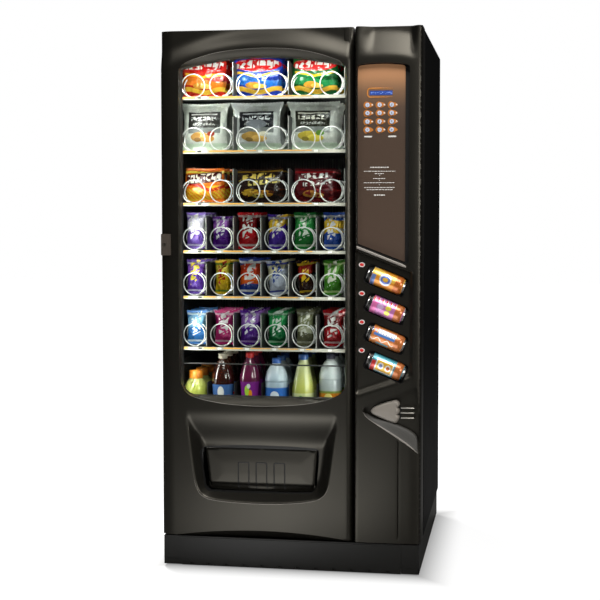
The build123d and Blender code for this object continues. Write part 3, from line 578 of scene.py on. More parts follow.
def arc3(a, b, c, n=16):
    """Points of the arc from a through b to c."""
    ax, ay, bx, by, cx, cy = *a, *b, *c
    d = 2 * (ax * (by - cy) + bx * (cy - ay) + cx * (ay - by))
    ux = ((ax ** 2 + ay ** 2) * (by - cy) + (bx ** 2 + by ** 2) * (cy - ay) + (cx ** 2 + cy ** 2) * (ay - by)) / d
    uy = ((ax ** 2 + ay ** 2) * (cx - bx) + (bx ** 2 + by ** 2) * (ax - cx) + (cx ** 2 + cy ** 2) * (bx - ax)) / d
    r = math.hypot(ax - ux, ay - uy)
    a0, am, a1 = (math.atan2(q[1] - uy, q[0] - ux) for q in (a, b, c))
    while am - a0 > math.pi: am -= 2 * math.pi
    while am - a0 < -math.pi: am += 2 * math.pi
    while a1 - am > math.pi: a1 -= 2 * math.pi
    while a1 - am < -math.pi: a1 += 2 * math.pi
    return [(ux + r * math.cos(a0 + (a1 - a0) * k / n), uy + r * math.sin(a0 + (a1 - a0) * k / n)) for k in range(n + 1)]


def inside(x, z, poly):
    p = np.array(poly, float)
    q = np.roll(p, -1, axis=0)
    res = np.zeros(np.shape(x), bool)
    for (x0, z0), (x1, z1) in zip(p, q):
        if z0 == z1:
            continue
        c = ((z0 > z) != (z1 > z)) & (x < (x1 - x0) * (z - z0) / (z1 - z0) + x0)
        res ^= c
    return res


def seg_dist(x, z, line, closed=False):
    p = np.array(line, float)
    q = np.roll(p, -1, axis=0) if closed else p[1:]
    p = p if closed else p[:-1]
    best = np.full(np.shape(x), 1e9)
    for (x0, z0), (x1, z1) in zip(p, q):
        dx, dz = x1 - x0, z1 - z0
        L = dx * dx + dz * dz
        if L == 0:
            continue
        t = np.clip(((x - x0) * dx + (z - z0) * dz) / L, 0, 1)
        best = np.minimum(best, np.hypot(x - x0 - t * dx, z - z0 - t * dz))
    return best


def smooth(t):
    t = np.clip(t, 0, 1)
    return t * t * (3 - 2 * t)


def sheet_mesh(shape, outer, holes, creases, depth, step, base=FRONT, mat=0):
    """Moulded front: a triangulated field over the outline with its holes, set back by depth(x, z)."""
    pts, edges = [], []
    for loop, closed in [(outer, True)] + [(h, True) for h in holes] + [(c, False) for c in creases]:
        o = len(pts)
        pts.extend(loop)
        n = len(loop)
        edges.extend([(o + i, o + (i + 1) % n) for i in range(n if closed else n - 1)])
    arr = np.array(outer)
    xs = np.arange(arr[:, 0].min() + step / 2, arr[:, 0].max(), step)
    zs = np.arange(arr[:, 1].min() + step / 2, arr[:, 1].max(), step * 0.9)
    gx, gz = np.meshgrid(xs, zs)
    gx[1::2] += step / 2
    gx, gz = gx.ravel(), gz.ravel()
    keep = inside(gx, gz, outer)
    for h in holes:
        keep &= ~inside(gx, gz, h)
    gx, gz = gx[keep], gz[keep]
    for loop, closed in [(outer, True)] + [(h, True) for h in holes] + [(c, False) for c in creases]:
        d = seg_dist(gx, gz, loop, closed)
        gx, gz = gx[d > step * 0.42], gz[d > step * 0.42]
    pts = list(pts) + list(zip(gx, gz))
    res = delaunay_2d_cdt([Vector((float(a), float(b))) for a, b in pts], edges, [], 0, 1e-4)
    vs = np.array([(v.x, v.y) for v in res[0]])
    tri = np.array([f for f in res[2] if len(f) == 3])
    cen = vs[tri].mean(axis=1)
    ok = inside(cen[:, 0], cen[:, 1], outer)
    for h in holes:
        ok &= ~inside(cen[:, 0], cen[:, 1], h)
    tri = tri[ok]
    a, b, c = vs[tri[:, 0]], vs[tri[:, 1]], vs[tri[:, 2]]
    area = (b[:, 0] - a[:, 0]) * (c[:, 1] - a[:, 1]) - (b[:, 1] - a[:, 1]) * (c[:, 0] - a[:, 0])
    tri[area < 0] = tri[area < 0][:, ::-1]
    y = base + depth(vs[:, 0], vs[:, 1])
    used = np.unique(tri)
    remap = -np.ones(len(vs), int)
    remap[used] = np.arange(len(used))
    shape.add([(vs[i, 0], y[i], vs[i, 1]) for i in used], [tuple(map(int, remap[t])) for t in tri], mat)


def at(loop, y):
    """2-D loop to 3-D points at depth y, a number or a function of x and z giving the set-back."""
    if callable(y):
        a = np.array(loop, float)
        d = FRONT + y(a[:, 0], a[:, 1])
        return [(p[0], dd, p[1]) for p, dd in zip(loop, d)]
    return [(p[0], y, p[1]) for p in loop]


def ray_match(loop, target, centre):
    """For each point of loop, the point of target on the same ray from centre."""
    t = np.array(target, float) - centre
    ang = np.arctan2(t[:, 1], t[:, 0])
    rad = np.hypot(t[:, 0], t[:, 1])
    o = np.argsort(ang)
    ang, rad = ang[o], rad[o]
    ang = np.concatenate([ang - 2 * math.pi, ang, ang + 2 * math.pi])
    rad = np.concatenate([rad, rad, rad])
    l = np.array(loop, float) - centre
    la = np.arctan2(l[:, 1], l[:, 0])
    r = np.interp(la, ang, rad)
    return [(centre[0] + rr * math.cos(a), centre[1] + rr * math.sin(a)) for a, rr in zip(la, r)]


def piece(ob, body, nodes=()):
    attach(ob, body)
    if nodes:
        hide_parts(*nodes)
    return ob


# ------------------------------------------------------------------------------------------------
# main fascia
# ------------------------------------------------------------------------------------------------
SCOOP = catmull([(-361, 524), (-351, 437), (-337, 338), (-327, 286), (-311, 254), (-281, 237), (-221, 229.5),
                 (-140, 226), (-61, 226.5), (19, 232), (78, 241), (109, 254), (129, 280), (141, 334), (154, 432),
                 (164, 502)], 6)


def shifted(line, amount):
    """The same open line moved sideways, to the left of its direction."""
    p = np.array(line, float)
    t = np.gradient(p, axis=0)
    t /= np.hypot(t[:, 0], t[:, 1])[:, None]
    return [(a - tz * amount, b + tx * amount) for (a, b), (tx, tz) in zip(p, t)]


SCOOP_LINES = [shifted(SCOOP, q)[3:-3] for q in (2.6, 6.0, 10.5, 17.0)] + [shifted(SCOOP, -3.0)[3:-3]]
SCOOP_AREA = SCOOP + [(150, 548), (-100, 556), (-345, 548)]
FLAP_HOLE = dense(rounded([(-322, 407), (-215, 415), (-111, 417.5), (-5, 416), (97, 411), (85, 261), (-10, 256),
                           (-112, 254), (-215, 254), (-300, 257)], [18, 0, 0, 0, 18, 28, 0, 0, 0, 28], 7), 7)
WIN_EDGE = rounded([(-377, 590), (187, 590), *arc3((187, 1702), (-95, 1736), (-377, 1702), 30)],
                   [44, 44, 22] + [0] * 29 + [22], 8)
WIN_EDGE = dense(WIN_EDGE, 9)
WIN_CREST = catmull([(-381, 1680), (-383, 1500), (-383.5, 1150), (-383, 800), (-380, 660), (-374, 628), (-363, 608),
                     (-348, 594), (-320, 583), (-275, 573), (-205, 564), (-101, 560), (3, 565), (75, 574), (120, 584),
                     (152, 596), (176, 610), (190, 632), (194.5, 664), (196, 800), (196.5, 1150), (196, 1500),
                     (194.5, 1672), (189, 1697), (173, 1716), (140, 1730), (106, 1741), (60, 1752), (5, 1760.5),
                     (-80, 1764.5), (-166, 1762), (-252, 1752), (-318, 1735), (-355, 1722), (-374, 1706)], 6, closed=True)
WIN_CREST = dense(WIN_CREST, 9)


def lip_line(x):
    return 108 + 25 * np.clip(1 - ((x + 88) / 305) ** 2, 0, 1)


def fascia_depth(x, z):
    e = np.clip((-402 - x) / 43, 0, 1)
    d = 7.5 * e ** 2 + 4.5 * (1 - np.sqrt(1 - 0.97 * np.clip((-436 - x) / 9, 0, 1) ** 2))
    # the right edge leans towards the column at the top, and rolls into the gap lower down
    d = d + 20 * (1 - np.sqrt(1 - 0.97 * np.clip((x - 197) / 17, 0, 1) ** 2)) * (1 - 0.75 * smooth((z - 1730) / 90))
    # dished visor above the window, deepest towards the two shoulders
    crest = 1764 - 52 * ((x + 85) / 290) ** 2
    lift = smooth((z - np.maximum(crest, 1690) - 4) / 78)
    d = d + lift * (21 - 9 * np.clip(np.abs((x + 95) / 310), 0, 1) ** 2.2)
    # undercut lower lip
    d = d + np.clip(lip_line(x) - z, 0, 40) * 0.85
    # faint overall crown
    d = d + 5.0 * ((x + 105) / 330) ** 2
    # delivery scoop
    ins = inside(x, z, SCOOP_AREA)
    s = seg_dist(x, z, SCOOP)
    target = 50 * smooth((549 - z) / 136) ** 1.4
    wall = 1.6 * (np.sqrt(s * s + 25.0) - 5.0)
    k = 12.0
    h = np.clip(0.5 + 0.5 * (wall - target) / k, 0, 1)
    m = wall + (target - wall) * h - k * h * (1 - h)
    return d + np.where(ins, np.maximum(m, 0), 0)


main = Shape()
OUT_M = dense([(-445, 108), (214, 108), (214, 1830), (-445, 1830)], 8)
lip = [(float(x), float(lip_line(np.array(float(x))))) for x in np.linspace(-392, 213, 60)]
sheet_mesh(main, OUT_M, [WIN_CREST, FLAP_HOLE], [SCOOP, *SCOOP_LINES, lip[1:-1]], fascia_depth, 7.0)
# window surround: crest, shallow crescent bevel, steep wall down to the pane; that wall is coloured black as painted
# shade
centre = np.array([-95.0, 1150.0])
edge = ray_match(WIN_CREST, WIN_EDGE, centre)
c0 = at(WIN_CREST, fascia_depth)


def between(a, b, t, y):
    return [(p[0] + (q[0] - p[0]) * t, y[i] if hasattr(y, "__len__") else y, p[1] + (q[1] - p[1]) * t)
            for i, (p, q) in enumerate(zip(a, b))]


y0 = [p[1] for p in c0]
main.strip(c0, between(WIN_CREST, edge, 0.06, [y + 1.0 for y in y0]), flip=True)
main.strip(between(WIN_CREST, edge, 0.06, [y + 1.0 for y in y0]), between(WIN_CREST, edge, 0.16, [y + 2.6 for y in y0]), flip=True)
main.strip(between(WIN_CREST, edge, 0.16, [y + 2.6 for y in y0]), between(WIN_CREST, edge, 0.82, [y + 12 for y in y0]), flip=True)
main.strip(between(WIN_CREST, edge, 0.82, [y + 12 for y in y0]), between(WIN_CREST, edge, 0.93, [y + 17 for y in y0]), flip=True)
main.strip(between(WIN_CREST, edge, 0.93, [y + 17 for y in y0]), between(WIN_CREST, edge, 1.0, -407.6), flip=True, mat=1)
# walls: outer return, flap opening; the flap opening's wall is coloured black as painted shade
main.strip(at(OUT_M, fascia_depth), at(OUT_M, -364.0))
f0 = at(FLAP_HOLE, fascia_depth)
main.strip(f0, [(p[0], -395.6, p[2]) for p in f0], flip=True, mat=1)
o = main.build("main_fascia_moulding", [M["fascia"], M["dark"]], sharp=32, solid=3.0)
piece(o, "outer_door", ["main_fascia"])

# lighter grey lines along the scoop lip, the arch crest and the crescent below the pane: painted highlights on these
# edges
lines = Shape()


def edge_line(path, radius, lift=0.25):
    pts = [(x, FRONT + float(fascia_depth(np.array([x]), np.array([z]))[0]) - lift, z) for x, z in path]
    n_ = len(pts)
    lines.tube(pts, [radius * min(1.0, 0.25 + 5.0 * min(i, n_ - 1 - i) / n_) for i in range(n_)], sides=6)


edge_line([q for q in dense(shifted(SCOOP, -1.2), 4.0, closed=False) if q[1] < 300], 1.05)
low_arc = sorted([q for q in WIN_CREST if q[1] < 598], key=lambda q: q[0])
edge_line(low_arc, 0.8)
top_arc = sorted([q for q in WIN_CREST if q[1] > 1712], key=lambda q: q[0])
edge_line(top_arc, 0.55)
o = lines.build("fascia_edge_lines", [M["crest"]], sharp=70, merge=0.01)
piece(o, "outer_door")

# side return of the door on the lock side, behind the roll-off
ret = Shape()
for x0, x1, y_a in ((-445.0, -441.5, -366.0),):
    loop = [(x0, y_a), (x1, y_a), (x1, -347.0), (x0, -347.0)]
    ret.strip([(x, y, 108.0) for x, y in loop], [(x, y, 1830.0) for x, y in loop])
    ret.add([(x, y, 108.0) for x, y in loop], [(3, 2, 1, 0)])
    ret.add([(x, y, 1830.0) for x, y in loop], [(0, 1, 2, 3)])
o = ret.build("door_edge_return", [M["fascia"]], bevel=0.8)
piece(o, "outer_door")

# ------------------------------------------------------------------------------------------------
# payment column
# ------------------------------------------------------------------------------------------------
CAN_X, CAN_Z, TILT = 326.0, (990.0, 895.0, 796.0, 702.0), math.radians(22)
PANEL_HOLE = dense(rounded([(229.5, 1108), (402, 1041.5), (404, 1698), *arc3((392, 1703), (312, 1709.5), (238, 1705), 10), (229.5, 1701)],
                           [4, 10, 16] + [0] * 11 + [12], 6), 7)


def can_pocket(z, hl=73.0, hw=33.5, r=12.0):
    pts = rounded([(-hl, -hw), (hl, -hw), (hl, hw), (-hl, hw)], r, 5)
    c, s = math.cos(-TILT), math.sin(-TILT)
    return dense([(CAN_X + x * c - w * s, z + x * s + w * c) for x, w in pts], 6)


POCKETS = [can_pocket(z) for z in CAN_Z]
COIN_UP = [(251, 549), (254, 561), (268, 574), (292, 585), (320, 594), (354, 608), (407, 629), (431, 640)]
COIN_LOW = [(251, 549), (265, 529), (306, 501), (367, 462), (407, 435), (436, 414)]
up = catmull(COIN_UP, 5)
low = catmull(COIN_LOW, 7)
COIN_HOLE = dense(up + [(436, 600), (438, 500)] + low[::-1][:-1], 6)


def column_depth(x, z):
    d = 12 * (1 - np.sqrt(1 - 0.97 * np.clip((231 - x) / 9, 0, 1) ** 2))
    d = d + 5.5 * np.clip((x - 404) / 41, 0, 1) ** 2 + 10 * (1 - np.sqrt(1 - 0.97 * np.clip((x - 437) / 8, 0, 1) ** 2))
    # visor cove above the panel
    side = 0.25 + 0.75 * smooth((x - 232) / 55)
    flank = 1 - 0.85 * smooth((x - 404) / 30)
    q = z - 1736 + 10 * ((x - 315) / 90) ** 2
    ramp = 0.5 * (q + np.sqrt(q * q + 64.0)) - 0.5 * ((q - 80) + np.sqrt((q - 80) ** 2 + 100.0))
    d = d + 0.31 * np.maximum(ramp, 0) * side * flank
    # flat around the drink buttons, below the panel's ledge
    ledge = 1103 - (x - 229) * 0.392 - 12
    zone = smooth((ledge - z) / 4) * smooth((z - 606 - 0.35 * (x - 250)) / 26) * (1 - smooth((x - 402) / 20)) * smooth((x - 224) / 8)
    d = d + 13 * zone
    # narrow seam down the lower column
    d = d + 2.5 * np.exp(-((x - 369) / 1.4) ** 2) * smooth((462 - z) / 6) * smooth((z - 122) / 6)
    lower = smooth((560 - z) / 60)
    return d + 2.5 * lower * np.clip((x - 330) / 110, 0, 1) ** 2


colm = Shape()
OUT_C = dense([(222, 108), (445, 108), (445, 1830), (222, 1830)], 7)
seam = [(x, z) for x in (369.0,) for z in np.linspace(124, 452, 48)]
seams = [[(x + dx, z) for x, z in seam] for dx in (-2.2, 0.0, 2.2)]
ledge_line = [(float(x), float(1103 - (x - 229) * 0.392 - 12)) for x in np.linspace(226, 404, 36)]
ledge_line2 = [(x, z - 4) for x, z in ledge_line]
sheet_mesh(colm, OUT_C, [PANEL_HOLE, *POCKETS, COIN_HOLE], seams + [ledge_line, ledge_line2], column_depth, 5.5)
# panel recess: walls down to the face plate, and the recess floor, coloured black as painted shade
p0 = at(PANEL_HOLE, column_depth)
colm.strip(p0, [(x, -427.2, z) for x, y, z in p0], flip=True, mat=1)
sheet_mesh(colm, PANEL_HOLE, [], [], lambda x, z: np.full(np.shape(x), 25.6), 40.0, mat=1)
# can pockets: walls and floors coloured black as painted shade around each can
for pk in POCKETS:
    p0 = at(pk, column_depth)
    colm.strip(p0, [(x, -421.5, z) for x, y, z in p0], flip=True, mat=1)
    sheet_mesh(colm, pk, [], [], lambda x, z: np.full(np.shape(x), 28.5), 30.0, mat=1)
p0 = at(COIN_HOLE, column_depth)
colm.strip(p0, [(x, -424.0, z) for x, y, z in p0], flip=True, mat=0)
sheet_mesh(colm, COIN_HOLE, [], [], lambda x, z: np.full(np.shape(x), 26.0), 30.0, mat=0)
colm.strip(at(OUT_C, column_depth), at(OUT_C, -364.0))
o = colm.build("payment_column_moulding", [M["fascia"], M["dark"]], sharp=32)
piece(o, "outer_door", ["column_fascia"])

ret = Shape()
loop = [(441.5, -366.0), (445.0, -366.0), (445.0, -347.0), (441.5, -347.0)]
ret.strip([(x, y, 108.0) for x, y in loop], [(x, y, 1830.0) for x, y in loop])
ret.add([(x, y, 108.0) for x, y in loop], [(3, 2, 1, 0)])
ret.add([(x, y, 1830.0) for x, y in loop], [(0, 1, 2, 3)])
o = ret.build("hinge_edge_return", [M["fascia"]], bevel=0.8)
piece(o, "outer_door")

# dark strip behind the seam between door moulding and column, so no light shows through at the top
seam = Shape()
sl = rounded([(182, -434), (206, -434), (206, -404), (182, -404)], 4.0, 4)
seam.strip([(a, b, 1770) for a, b in sl], [(a, b, 1827.5) for a, b in sl])
seam.add([(a, b, 1827.5) for a, b in sl], [tuple(range(len(sl)))])
seam.add([(a, b, 1770) for a, b in sl], [tuple(range(len(sl) - 1, -1, -1))])
o = seam.build("seam_backing", [M["fascia"]], sharp=50, outward=True)
piece(o, "outer_door")

# pale ledge under the control panel; its lighter grey is partly a painted highlight on its upward face
led = Shape()
top = [(float(x), float(1106.5 - (x - 229) * 0.392)) for x in np.linspace(229.5, 398, 30)]
rows = []
for dz, y in ((0.0, -428.0), (0.2, -444.0), (-0.6, -450.2), (-2.6, -452.2), (-7.0, -452.6), (-9.6, -451.4), (-11.0, -448.0), (-11.4, -434.0)):
    rows.append([(x, y + (5.0 * max(0, (x - 386) / 12) ** 2 if y < -430 else 0), z + dz) for x, z in top])
led.grid(rows)
o = led.build("panel_ledge", [M["crest"]], sharp=50)
piece(o, "outer_door")

# coin entry: domed fan bezel with a scalloped edge, guide bars, sweeping ledge
fan = [(276, 551), (279, 558), (290, 567), (318, 579), (345, 587), (360, 590), (369, 585), (373, 577), (372, 570),
       (367, 566), (371, 560), (373, 553), (371, 546), (366, 542), (371, 537), (372, 529), (368, 521), (360, 513),
       (350, 515), (325, 523), (296, 535), (281, 543)]
fan_loop = dense(catmull(fan, 4, closed=True), 2.6)
ce = Shape()


def fan_depth(x, z):
    s = seg_dist(x, z, fan_loop, True)
    return 4 + 8 * (1 - np.sqrt(1 - np.clip(1 - s / 9, 0, 1) ** 2)) - 2.0 * smooth(s / 34)


sheet_mesh(ce, fan_loop, [], [], fan_depth, 3.2, mat=0)
ce.strip(at(fan_loop, fan_depth), [(x, -424.5, z) for x, z in fan_loop], mat=0)
for z in (564.5, 548.0, 531.0):
    ce.tube([(378, -438, z), (384, -440, z), (400, -440.5, z), (416, -440, z), (421, -438, z)], 2.3, 10, mat=1)
    ce.tube([(417, -440, z), (417, -424.5, z)], 2.0, 8, mat=1)
ce.add([(373.4, -425.2, 529), (377.8, -425.2, 529), (377.8, -425.2, 567), (373.4, -425.2, 567)], [(0, 1, 2, 3)], 2)
for dx in (0.0,):
    ce.add([(322, -446.3, 551.2), (334, -446.3, 550.2), (334, -446.3, 551.4), (322, -446.3, 552.4)], [(0, 1, 2, 3)], 2)
o = ce.build("coin_bezel", [M["bezel"], M["bar"], M["dark"]], sharp=40, outward=True)
piece(o, "outer_door", ["coin_entry"])
sw = Shape()
SW_UP = catmull([(262, 541), (294, 527), (346, 514), (396, 494), (424, 476), (434, 458), (437, 424)], 6)
SW_LOW = catmull(COIN_LOW, 7)
n = 44


def resample(line, n):
    p = np.array(line, float)
    s = np.concatenate([[0], np.cumsum(np.hypot(*np.diff(p, axis=0).T))])
    t = np.linspace(0, s[-1], n)
    return list(zip(np.interp(t, s, p[:, 0]), np.interp(t, s, p[:, 1])))


lo_c, up_c = resample(SW_LOW, n), resample(SW_UP, n)
rows = []
for t, dep in ((0.0, 2.0), (0.03, -0.2), (0.08, -0.4), (0.14, 1.6), (0.3, 4.0), (0.5, 6.0), (0.7, 8.2), (0.88, 10.5), (0.96, 12.5), (1.0, 16.0), (1.0, 25.5)):
    rows.append([(a[0] + (b[0] - a[0]) * t, FRONT + dep, a[1] + (b[1] - a[1]) * t) for a, b in zip(lo_c, up_c)])
# the lighter grey band along the ledge's lower edge is a painted highlight on its crest
sw.grid(rows[:4], mat=1)
sw.grid(rows[3:], mat=0)
o = sw.build("coin_return_ledge", [M["swoosh"], M["crest"]], sharp=60)
piece(o, "outer_door")

# ------------------------------------------------------------------------------------------------
# delivery flap
# ------------------------------------------------------------------------------------------------
fl = Shape()
FLAP = dense(rounded([(-307, 402), (-207, 408.0), (-110, 410), (-12, 408.5), (86, 403.5), (75, 263), (-20, 259.5),
                      (-110, 258.5), (-200, 259.5), (-290, 263)], [7, 0, 0, 0, 7, 12, 0, 0, 0, 12], 5), 6)


def flap_depth(x, z):
    s = seg_dist(x, z, FLAP, True)
    d = 62.0 + 3.5 * (1 - np.sqrt(1 - np.clip(1 - s / 5, 0, 1) ** 2))
    return d + 7.0 * smooth((283 - z) / 10) - 1.6 * smooth(s / 60)


sheet_mesh(fl, FLAP, [], [[(x, 284.0) for x in np.linspace(-286, 72, 50)]], flap_depth, 6.0)
fl.strip(at(FLAP, flap_depth), [(x, -384.0, z) for x, z in FLAP])
o = fl.build("delivery_flap_panel", [M["fascia"]], sharp=40, solid=2.5)
piece(o, "flap", ["delivery_flap"])
tabs = Shape()


def on_flap(p, lift):
    return (p[0], FRONT + float(flap_depth(np.array([p[0]]), np.array([p[1]]))[0]) - lift, p[1])


# dark outline ribbons round each finger tab are painted shade in the grooves; the lighter lines along each tab's top
# and right side are painted highlights
for xc in (-171.5, -108.5, -45.5):
    outl = rounded([(xc - 18.5, 263.5), (xc - 18.5, 354.5), (xc + 18.5, 354.5), (xc + 18.5, 263.5)], [0, 5, 5, 0], 5)
    path = dense(outl, 4.0, closed=False)
    tg = np.gradient(np.array(path), axis=0)
    tg /= np.hypot(tg[:, 0], tg[:, 1])[:, None]
    rows = [[], [], [], []]
    for (a, b), (tx, tz) in zip(path, tg):
        for r_, (off, lift) in zip(rows, ((-2.2, 0.15), (-1.2, 0.55), (1.2, 0.55), (2.2, 0.15))):
            r_.append(on_flap((a - tz * off, max(261.5, b + tx * off)), lift))
    tabs.grid(rows, mat=1)
    path = dense([(xc - 16.2, 352.6), (xc + 16.2, 352.6)], 4.0, closed=False)
    tabs.grid([[on_flap((a, b + e), l) for a, b in path] for e, l in ((0.5, 0.2), (0.0, 0.6), (-0.5, 0.2))], mat=2)
    path = dense([(xc + 16.6, 266.0), (xc + 16.6, 350.0)], 4.0, closed=False)
    tabs.grid([[on_flap((a + e, b), l) for a, b in path] for e, l in ((-0.3, 0.2), (0.0, 0.5), (0.3, 0.2))], mat=2)
# lighter tube along the flap's top rim: a painted highlight on that edge
rim = sorted([q for q in FLAP if q[1] > 399.5], key=lambda q: q[0])
tabs.tube([on_flap((a, b - 1.2), 0.3) for a, b in rim], 0.9, sides=6, mat=2)
o = tabs.build("flap_finger_tabs", [M["fascia"], M["dark"], M["edge_lit"]], sharp=60, merge=0.01)
piece(o, "flap")

# ------------------------------------------------------------------------------------------------
# drink-can buttons
# ------------------------------------------------------------------------------------------------
CAN_ART = [
    ((0.86, 0.33, 0.03), [("rect", (0.16, 0.27, 0.62), 0.13, 0.235, -1, 2), ("wave", (0.98, 0.62, 0.10), 0.72, 0.16, 0.05, 1.2, 0.0, 0.0),
                          ("rect", (0.62, 0.17, 0.03), 0.735, 0.93, -1, 2), ("ell", (0.78, 0.82, 0.95), 0.49, 0.52, 0.155, 0.30),
                          ("ell", (0.12, 0.20, 0.60), 0.49, 0.52, 0.12, 0.22), ("ell", (0.97, 0.55, 0.06), 0.49, 0.52, 0.07, 0.11)]),
    ((0.62, 0.22, 0.52), [("rect", (0.86, 0.20, 0.50), 0.13, 0.26, -1, 2), ("stripes", (0.80, 0.06, 0.04), 9.0, 0.5, 0.05, 0.72, 0.90),
                          ("stripes", (0.95, 0.90, 0.88), 9.0, 0.18, 0.05, 0.72, 0.90), ("ell", (0.93, 0.80, 0.10), 0.56, 0.58, 0.075, 0.12),
                          ("ell", (0.85, 0.82, 0.12), 0.56, 0.32, 0.07, 0.12), ("ell", (0.74, 0.50, 0.78), 0.36, 0.52, 0.08, 0.15),
                          ("rect", (0.62, 0.19, 0.05), 0.735, 0.93, -1, 2)]),
    ((0.78, 0.26, 0.06), [("rect", (0.88, 0.90, 0.94), 0.26, 0.735, 0.62, 0.86), ("stripes", (0.10, 0.14, 0.42), 14.0, 0.34, 0.0, 0.66, 0.82),
                          ("rect", (0.10, 0.30, 0.80), 0.18, 0.735, 0.50, 0.63), ("wave", (0.96, 0.84, 0.72), 0.33, 0.03, 0.09, 4.0, 0.0, 0.0),
                          ("rect", (0.20, 0.62, 0.78), 0.30, 0.62, 0.10, 0.18), ("rect", (0.62, 0.19, 0.05), 0.735, 0.93, -1, 2)]),
    ((0.06, 0.30, 0.38), [("rect", (0.10, 0.44, 0.54), 0.13, 0.735, 0.80, 0.92), ("rect", (0.62, 0.04, 0.04), 0.13, 0.24, -1, 0.62),
                          ("rect", (0.90, 0.88, 0.84), 0.24, 0.70, 0.12, 0.78), ("rect", (0.85, 0.50, 0.05), 0.27, 0.67, 0.18, 0.72),
                          ("ell", (0.90, 0.88, 0.84), 0.38, 0.45, 0.075, 0.17), ("ell", (0.20, 0.26, 0.55), 0.38, 0.45, 0.045, 0.10),
                          ("ell", (0.90, 0.88, 0.84), 0.57, 0.45, 0.075, 0.17), ("ell", (0.62, 0.16, 0.05), 0.57, 0.45, 0.045, 0.10),
                          ("rect", (0.62, 0.19, 0.05), 0.735, 0.93, -1, 2)]),
]
along = Vector((math.cos(TILT), 0, -math.sin(TILT)))
across = Vector((math.sin(TILT), 0, math.cos(TILT)))
M["can_metal"] = surface("can_end_metal", (0.62, 0.62, 0.62), 0.22, 1.0, 0.12, 800, 0.1, 0.0001)
for i, z in enumerate(CAN_Z):
    art = printed("can_art_%d" % (i + 1), CAN_ART[i][0], CAN_ART[i][1], rough=0.26, metal=0.35, crinkle=0.04, coat=0.6)
    cn = Shape()
    prof = [(20.0, -66.5), (25.5, -67.0), (27.0, -65.0), (26.0, -62.5), (28.5, -58.0), (32.0, -53.0), (33.0, -50.5),
            (33.0, -30), (33.0, -10), (33.0, 10), (33.0, 30), (33.0, 46), (32.4, 51.0), (30.0, 56.0), (27.0, 60.5),
            (26.5, 63.5), (25.0, 66.5), (20.0, 66.0)]
    rows, uvs = [], []
    for r, s in prof:
        phm = math.acos(min(0.999, 11.0 / r))
        row = []
        for k in range(25):
            ph = -phm + 2 * phm * k / 24
            p = Vector((CAN_X, -416.0, z)) + along * s + across * (r * math.sin(ph)) + Vector((0, -1, 0)) * (r * math.cos(ph))
            row.append(tuple(p))
            uvs.append(((s + 67) / 134, 0.5 + 0.5 * math.sin(ph) * r / 33))
        rows.append(row)
    cn.grid(rows, uv=uvs)
    for row, rev in ((rows[0], True), (rows[-1], False)):
        cn.add(row, [tuple(reversed(range(25))) if rev else tuple(range(25))], 1)
    back = [r[0] for r in rows] + [r[-1] for r in reversed(rows)]
    cn.add(back, [tuple(range(len(back)))], 1)
    ob = cn.build("drink_can_front_%d" % (i + 1), [art, M["can_metal"]], sharp=45, merge=0.01)
    for poly in ob.data.polygons:
        c = poly.center * 1000
        s = (c.x - CAN_X) * along.x + (c.z - z) * along.z
        if s < -51 or s > 58.5:
            poly.material_index = 1
    piece(ob, "drink_button_%d" % (i + 1), ["can_button_%d" % (i + 1)])

# indicator lamps beside the cans
lm = Shape()
for z in (1042.0, 946.0, 850.0, 755.0):
    base_y = FRONT + float(column_depth(np.array([245.0]), np.array([z]))[0])
    ring = []
    for r, dy in ((9.5, 0.2), (9.2, -1.6), (7.6, -2.4), (6.3, -1.4), (6.1, 1.0)):
        ring.append([(245 + r * math.cos(a) * 1.1, base_y + dy, z + r * math.sin(a) * 0.85) for a in
                     [2 * math.pi * k / 28 for k in range(28)]])
    for a, b in zip(ring, ring[1:]):
        lm.strip(a, b, mat=1)
    dome = []
    for t in (0.0, 0.3, 0.6, 0.85, 1.0):
        rr = 6.2 * math.cos(t * math.pi / 2)
        dome.append([(245 + rr * math.cos(a) * 1.1, base_y - 0.4 - 2.6 * math.sin(t * math.pi / 2), z + rr * math.sin(a) * 0.85)
                     for a in [2 * math.pi * k / 28 for k in range(28)]])
    for a, b in zip(dome, dome[1:]):
        lm.strip(a, b, mat=0)
o = lm.build("button_indicators", [M["led"], M["print_white"]], sharp=50, merge=0.01)
piece(o, "outer_door")

# ------------------------------------------------------------------------------------------------
# spirals: true helices of round wire
# ------------------------------------------------------------------------------------------------
RAIL_Z = (1613.0, 1427.0, 1245.0, 1080.0, 920.0, 741.0)
COIL_X = (-366.0, -268.5, -171.0, -73.5, 24.0, 121.5)


def helix(shape, x, z, row, k):
    pair = row < 3
    pitch = 70.0 if pair else 55.0
    hand = -1 if pair and k % 2 == 0 else 1
    turns = 6.5 if pair else 8.4
    r = 40.0
    n = int(turns * 30)
    pts = []
    for i in range(n + 1):
        a = -math.pi / 2 + 0.25 + hand * 2 * math.pi * turns * i / n
        if hand < 0:
            a = math.pi - a - 0.0
            a = -math.pi / 2 - 0.25 + 2 * math.pi * turns * i / n * -1.0
        t = turns * i / n
        y = -318.0 + 22.0 * min(t, 1.0) + max(0.0, t - 1.0) * (441.0 / (turns - 1.0))
        pts.append((x + r * math.cos(a), y, z + r * math.sin(a)))
    e = pts[-1]
    for t in (0.25, 0.55, 0.85):
        pts.append((e[0] + (x - e[0]) * t, 147.5 + t, e[2] + (z - e[2]) * t))
    pts.append((x, 150.0, z))
    pts.append((x, 158.0, z))
    pts.append((x, 176.0, z))
    shape.tube(pts, 2.1, 8)
    hub = [(7.5, 150.0), (9.0, 151.0), (9.0, 170.0), (7.5, 176.0)]
    rows = [[(x + q * math.cos(a), y, z + q * math.sin(a)) for a in [2 * math.pi * j / 20 for j in range(21)]] for q, y in hub]
    shape.grid(rows, mat=1)


